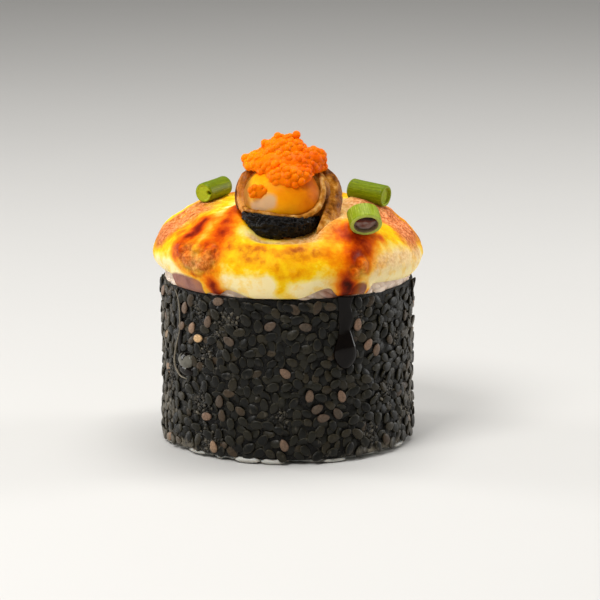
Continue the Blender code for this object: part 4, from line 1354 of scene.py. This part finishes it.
def eggPlaces(lobes, rng):
    found = []
    room = roe["gap"] ** 2 * math.sqrt(3) / 2
    for lobe in lobes:
        centre, (a, b, c) = lobe
        count = round(4 * math.pi * (a * b + a * c + b * c) / 3 / room)
        for index in range(count):
            up = 1 - 2 * (index + 0.5) / count
            level = math.sqrt(1 - up * up)
            turn = index * math.pi * (3 - math.sqrt(5)) + rng.uniform(-0.12, 0.12)
            way = Vector((math.cos(turn) * level, math.sin(turn) * level, up))
            point = Vector(centre) + way * Vector((a, b, c))
            slope = Vector((way.x / a, way.y / b, way.z / c)).normalized()
            hidden = any(depthIn(point, *other) < 0.96 for other in lobes if other != lobe)
            near = any((point - place).length < roe["gap"] * 0.78 for place, _ in found)
            if not hidden and not near:
                found.append((point, slope))
    return found


def hemAt(points):
    # The heap's lower edge over each point.
    front = np.interp(points[:, 0], *np.array(roe["hem"]).T)
    return np.where(points[:, 1] < -8, front, roe["hemBehind"])


def toneAndShadeOf(points):
    # Painted light and shade over the heap; each egg's own random tone is added to this.
    tone = np.full(len(points), 0.45)
    for spot, width, change in roe["tones"]:
        tone += change * nearness(points, (spot,), width)
    return tone


def buildRoe(name, node, lobes, strays, size, material, rng):
    cores = bmesh.new()
    for centre, radii in lobes:
        made = bmesh.ops.create_icosphere(cores, subdivisions=4, radius=1.0)["verts"]
        bmesh.ops.scale(cores, vec=radii, verts=made)
        bmesh.ops.translate(cores, vec=centre, verts=made)
    core = meshFrom(name + "Core", cores)
    points = pointsOf(core)
    if strays:
        points[:, 2] = np.maximum(points[:, 2], hemAt(points) - 0.4)
    setPoints(core, points)
    paint(core, "tone", toneAndShadeOf(points))
    addPiece(core, material, "fish_roe", node)

    spots = []
    for point, slope in eggPlaces(lobes, rng):
        spots.append(point + slope * size * rng.uniform(*roe["lift"]))
    if strays:
        spots = [spot for spot, hem in zip(spots, hemAt(np.array(spots))) if spot.z > hem]
        spots += [Vector(spot) for spot in strays]
    places = []
    for spot in spots:
        turn = Matrix.Rotation(rng.uniform(0, math.tau), 4, "X")
        places.append(Matrix.Translation(spot) @ turn @ Matrix.Scale(size * rng.uniform(0.84, 1.1), 4))
    change = roe["toneChange"]
    tones = toneAndShadeOf(np.array(spots)) + [rng.uniform(-change, change) for _ in places]
    eggs = manyCopies(name, ball((1, 1, 1), 10, 6), places, tones)
    addPiece(eggs, material, "fish_roe", node)
    print("Roe:", len(places), "eggs in", name)


eggSkin = roeMaterial()
buildRoe("roeHeap", "roe_heap", roe["heap"], roe["strays"], roe["egg"], eggSkin, random.Random(31))
buildRoe("roeClump", "roe_clump", roe["clump"], (), roe["egg"] * 0.8, eggSkin, random.Random(37))


# Spring onion

onion = {
    "wall": 0.5,
    "ringWall": 0.9,
    "softness": 0.28,
    # middle, the way that the end faces, length, radius
    "left": ((-14.9, 2.7, 50.5), (-0.55, -0.83, -0.06), 7.8, 2.0),
    "back": ((16.4, 1.0, 50.1), (0.84, -0.53, -0.09), 8.3, 2.2),
    "front": ((15.2, -18.2, 48.3), (0.17, -0.82, -0.54), 3.7, 3.3),
    "bore": (1.3, 0.1, 0.42, 2.0),
    "dish": 0.5,
    "squash": 0.84,
    "lean": -8.0,
}


def stemMaterial(name, skin, cut, inside):
    material, tree, shader = newMaterial(name, {
        "Roughness": 0.36, "Specular IOR Level": 0.12, "Subsurface Weight": 0.15, "Subsurface Scale": mm,
        "Subsurface Radius": (0.6, 0.8, 0.2),
    })
    local = put(tree, "Attribute", attribute_name="stemPlace").outputs["Vector"]
    drawn = put(tree, "Mapping", {"Vector": local, "Scale": (1.0, 1.0, 0.06)}).outputs[0]
    fibre = put(tree, "TexNoise", {"Vector": drawn, "Scale": 5.0, "Detail": 4.0, "Roughness": 0.7}).outputs[0]
    spots = grainOn(tree, ownPlace(tree), 1800.0, 0.3)
    lines = colours(tree, spread(tree, fibre, 0.3, 0.7), ((0.0, skin[0]), (0.6, skin[1]), (1.0, skin[2])))
    fresh = mixed(tree, painted(tree, "cut"), lines, tint(*cut))
    # The inside colour covers the bore, where it is painted shade, and the ring's inner wall.
    lined = mixed(tree, painted(tree, "inside"), fresh, tint(*inside))
    plug(tree, shifted(tree, lined, spots["Mottle"], 0.22), shader["Base Color"])
    plug(tree, spread(tree, fibre, 0.3, 0.7, 0.3, 0.46), shader["Roughness"])
    height = calc(tree, "ADD", calc(tree, "MULTIPLY", fibre, 1.2), spots["Height"])
    plug(tree, bumped(tree, height, 0.05, 0.4), shader["Normal"])
    return material


def stemFrame(spec):
    place = Vector(spec[1]).to_track_quat("Z", "Y").to_matrix().to_4x4()
    place.translation = spec[0]
    return place


def ringFrame():
    # The front ring leans round its own axis too.
    return stemFrame(onion["front"]) @ Matrix.Rotation(math.radians(onion["lean"]), 4, "Z")


def addStem(node, mesh, place, material):
    # Fibres follow the stem, so its local place is kept before it is turned.
    local = pointsOf(mesh)
    layer = mesh.attributes.new("stemPlace", "FLOAT_VECTOR", "POINT")
    layer.data.foreach_set("vector", local.astype(np.float32).ravel())
    turn = np.array([list(row) for row in place])
    setPoints(mesh, local @ turn[:3, :3].T + turn[:3, 3])
    addPiece(mesh, material, "spring_onion", node)


def stemSolid(name, spec, dish, bore=None):
    _, _, length, radius = spec
    half = length / 2
    soft = radius * onion["softness"]
    rim = radius - onion["wall"]
    corner = [(radius - soft * (1 - math.sin(turn)), -half + soft * (1 - math.cos(turn)))
              for turn in np.linspace(0, math.pi / 2, 8)]
    profile = evenPath([(0, -half), *corner, (radius, half - soft / 2), (radius - soft / 4, half),
                        (rim, half), (rim - dish / 2, half - dish), (0, half - dish)], 90)
    mesh = meshFrom(name, turned(profile, 64))
    points = pointsOf(mesh)
    far = np.linalg.norm(points[:, :2], axis=1)
    face = ramp(points[:, 2], half - dish - 0.3, half - dish - 0.02) * (1 - ramp(far, rim, radius))
    hole = np.zeros(len(points))
    if bore:
        x, y, width, depth = bore
        gap = np.hypot(points[:, 0] - x, points[:, 1] - y)
        hole = (1 - ramp(gap, width * 0.5, width * 1.25)) * (points[:, 2] > half - dish - 0.05)
        points[:, 2] -= depth * hole
    wobble = 1 + 0.03 * lumps(points, 2.6, 2.0)
    points[:, :2] *= wobble[:, None]
    setPoints(mesh, points)
    paint(mesh, "cut", face)
    paint(mesh, "inside", hole)
    return mesh


def stemRing(name, spec):
    # A squashed ring that is open at both ends.
    _, _, length, radius = spec
    half = length / 2
    inner = radius - onion["ringWall"]
    soft = onion["ringWall"] / 5
    outline = [(inner, -half + soft), (inner + soft, -half), (radius - soft, -half), (radius, -half + soft),
               (radius, half - soft), (radius - soft, half), (inner + soft, half), (inner, half - soft)]
    profile = evenPath([*outline, outline[0]], 70)[:-1]
    bm = turned(profile, 100, closed=True)
    bmesh.ops.scale(bm, vec=(1.0, onion["squash"], 1.0), verts=bm.verts)
    mesh = meshFrom(name, bm)
    points = pointsOf(mesh)
    far = np.hypot(points[:, 0], points[:, 1] / onion["squash"])
    paint(mesh, "inside", 1 - ramp(far, inner + 0.04, inner + 0.14))
    paint(mesh, "cut", ramp(np.abs(points[:, 2]), half - 0.12, half - 0.02))
    points[:, :2] *= (1 + 0.03 * lumps(points, 2.4, 4.0))[:, None]
    setPoints(mesh, points)
    return mesh


def buildOnions():
    olive = ((90, 107, 0), (105, 121, 0), (126, 141, 8))
    pale = ((118, 136, 12), (142, 158, 34), (170, 182, 78))
    left = stemSolid("onionLeft", onion["left"], onion["dish"] / 5, onion["bore"])
    # The left stem's bore is painted near-black inside: painted shade in the hole.
    addStem("spring_onion_left", left, stemFrame(onion["left"]),
            stemMaterial("onionLeftSkin", olive, (164, 178, 30), (10, 14, 2)))
    back = stemSolid("onionBack", onion["back"], onion["dish"])
    addStem("spring_onion_back", back, stemFrame(onion["back"]),
            stemMaterial("onionBackSkin", olive, (152, 168, 24), (90, 100, 12)))
    front = stemRing("onionFront", onion["front"])
    addStem("spring_onion_front", front, ringFrame(),
            stemMaterial("onionFrontSkin", pale, (178, 192, 84), (150, 128, 94)))


buildOnions()
print("Spring onion")


# Sauce

sauce = {
    # Drops on the sleeve: angle, height, half-sizes round, out of and down the wall, tone. Tone 0 paints a
    # pale grey, a painted highlight on a clear drop, and the dark drop below it is partly a painted shadow
    # under that one.
    "drops": ((-57.5, 26.4, 0.8, 0.28, 6.6, 0.8), (-53.0, 19.0, 2.3, 0.9, 1.6, 0.0),
              (-52.5, 17.0, 2.3, 0.5, 1.1, 0.6)),
    # The long drip: rows of angle, height, half-width, half-thickness.
    "drip": ((26.5, 33.7, 1.8, 0.3), (26.1, 31.6, 1.35, 0.3), (26.8, 29.4, 1.6, 0.3), (26.2, 27.2, 1.25, 0.4),
             (26.5, 25.3, 1.7, 0.65), (26.6, 23.6, 2.3, 1.0), (26.7, 21.8, 2.5, 1.1), (26.7, 20.4, 2.0, 0.95),
             (26.7, 19.4, 1.1, 0.6), (26.7, 19.0, 0.3, 0.2)),
    # A film's edge that dried on the seeds, painted pale as a highlight along it: rows of angle, height,
    # half-width.
    "line": ((-59.9, 33.0, 0.1), (-57.2, 31.2, 0.14), (-56.4, 28.5, 0.14), (-56.9, 24.7, 0.15),
             (-59.9, 21.6, 0.18), (-61.9, 18.8, 0.2), (-60.7, 16.9, 0.2), (-56.4, 15.6, 0.16),
             (-51.5, 15.4, 0.08)),
    # Sauce that has run into the ring of onion, painted with the light and shade inside the ring: how far in,
    # up, and half its thickness.
    "ringPool": (0.5, 0.0, 0.9),
}


def sauceMaterial(name, stops, roughness):
    material, tree, shader = newMaterial(name, {"Roughness": roughness, "Specular IOR Level": 0.14})
    place = ownPlace(tree)
    grain = grainOn(tree, place, 700.0, 0.1)
    uneven = calc(tree, "MULTIPLY", calc(tree, "SUBTRACT", grain["Mottle"], 0.5), 0.25)
    share = calc(tree, "ADD", painted(tree, "tone"), uneven)
    plug(tree, colours(tree, share, stops), shader["Base Color"])
    plug(tree, bumped(tree, grain["Height"], 0.05, 0.3), shader["Normal"])
    return material


def sauceStrip(name, rows, lift, facing, count, sides, tone):
    # A strip along the wall: rows of angle, height, half-width and half-thickness.
    places = []
    for angle, height, width, thick in rows:
        spot = outward(angle) * (sleeveRadius(height) + lift)
        places.append((spot.x, spot.y, height, width, thick))
    bm = bmesh.new()
    sweep(bm, places, outward(facing), count, sides)
    strip = meshFrom(name, bm)
    paint(strip, "tone", np.full(len(strip.vertices), tone))
    return strip


def buildSauce():
    # The pale grey at tone 0 is a painted highlight.
    dark = sauceMaterial("darkSauce", ((0.0, (104, 101, 92)), (0.5, (14, 8, 5)), (1.0, (7, 4, 3))), 0.08)
    bm = bmesh.new()
    tones = []
    for angle, height, around, out, down, tone in sauce["drops"]:
        made = bmesh.ops.create_uvsphere(bm, u_segments=40, v_segments=28, radius=1.0)["verts"]
        bmesh.ops.scale(bm, vec=(around, down, out), verts=made)
        bmesh.ops.transform(bm, matrix=wallFrame(angle, height), verts=made)
        tones += [tone] * len(made)
    drops = meshFrom("sauceDrops", bm)
    paint(drops, "tone", np.array(tones))
    addPiece(drops, dark, "black_sesame", "sesame_coat")

    drip = sauceStrip("sauceDrip", sauce["drip"], 0.05, sauce["drip"][0][0], 80, 32, 0.8)
    addPiece(drip, dark, "black_sesame", "sesame_coat")

    lineRows = [(angle, height, width, width) for angle, height, width in sauce["line"]]
    line = sauceStrip("sauceLine", lineRows, 0.25, -55, 90, 10, 0.25)
    # Pale greys: a painted highlight along the film's edge.
    highlightGreys = ((0.0, (140, 131, 114)), (0.5, (96, 88, 74)), (1.0, (40, 30, 22)))
    addPiece(line, sauceMaterial("sauceEdgeHighlight", highlightGreys, 0.3), "black_sesame")

    inwards, upwards, thick = sauce["ringPool"]
    place = ringFrame() @ Matrix.Translation((0, upwards, inwards))
    wide = onion["front"][3] - onion["ringWall"] + 0.15
    pool = meshFrom("onionSauceAndShade", ball((wide, wide * onion["squash"], thick), 40, 24, place))
    points = flesh(pool, 1.4, 0.15, 2.0)
    # Painted light and shade: pale below, where the lit inner wall shows, and dark red at the top, where the
    # ring's inside is in shade, partly sauce.
    high = points[:, 2] - points[:, 2].mean()
    paint(pool, "tone", 0.1 + 0.8 * ramp(high, -0.4, 0.5) + 0.2 * lumps(points, 1.2))
    browns = ((0.0, (150, 134, 126)), (0.4, (104, 44, 22)), (1.0, (40, 10, 4)))
    addPiece(pool, sauceMaterial("ringSauceAndShade", browns, 0.2), "baked_crust")


buildSauce()
print("Sauce")


boxes = {"cad": cadBox, "visual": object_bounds()}
boxes = {name: [list(corner) for corner in box] for name, box in boxes.items()}
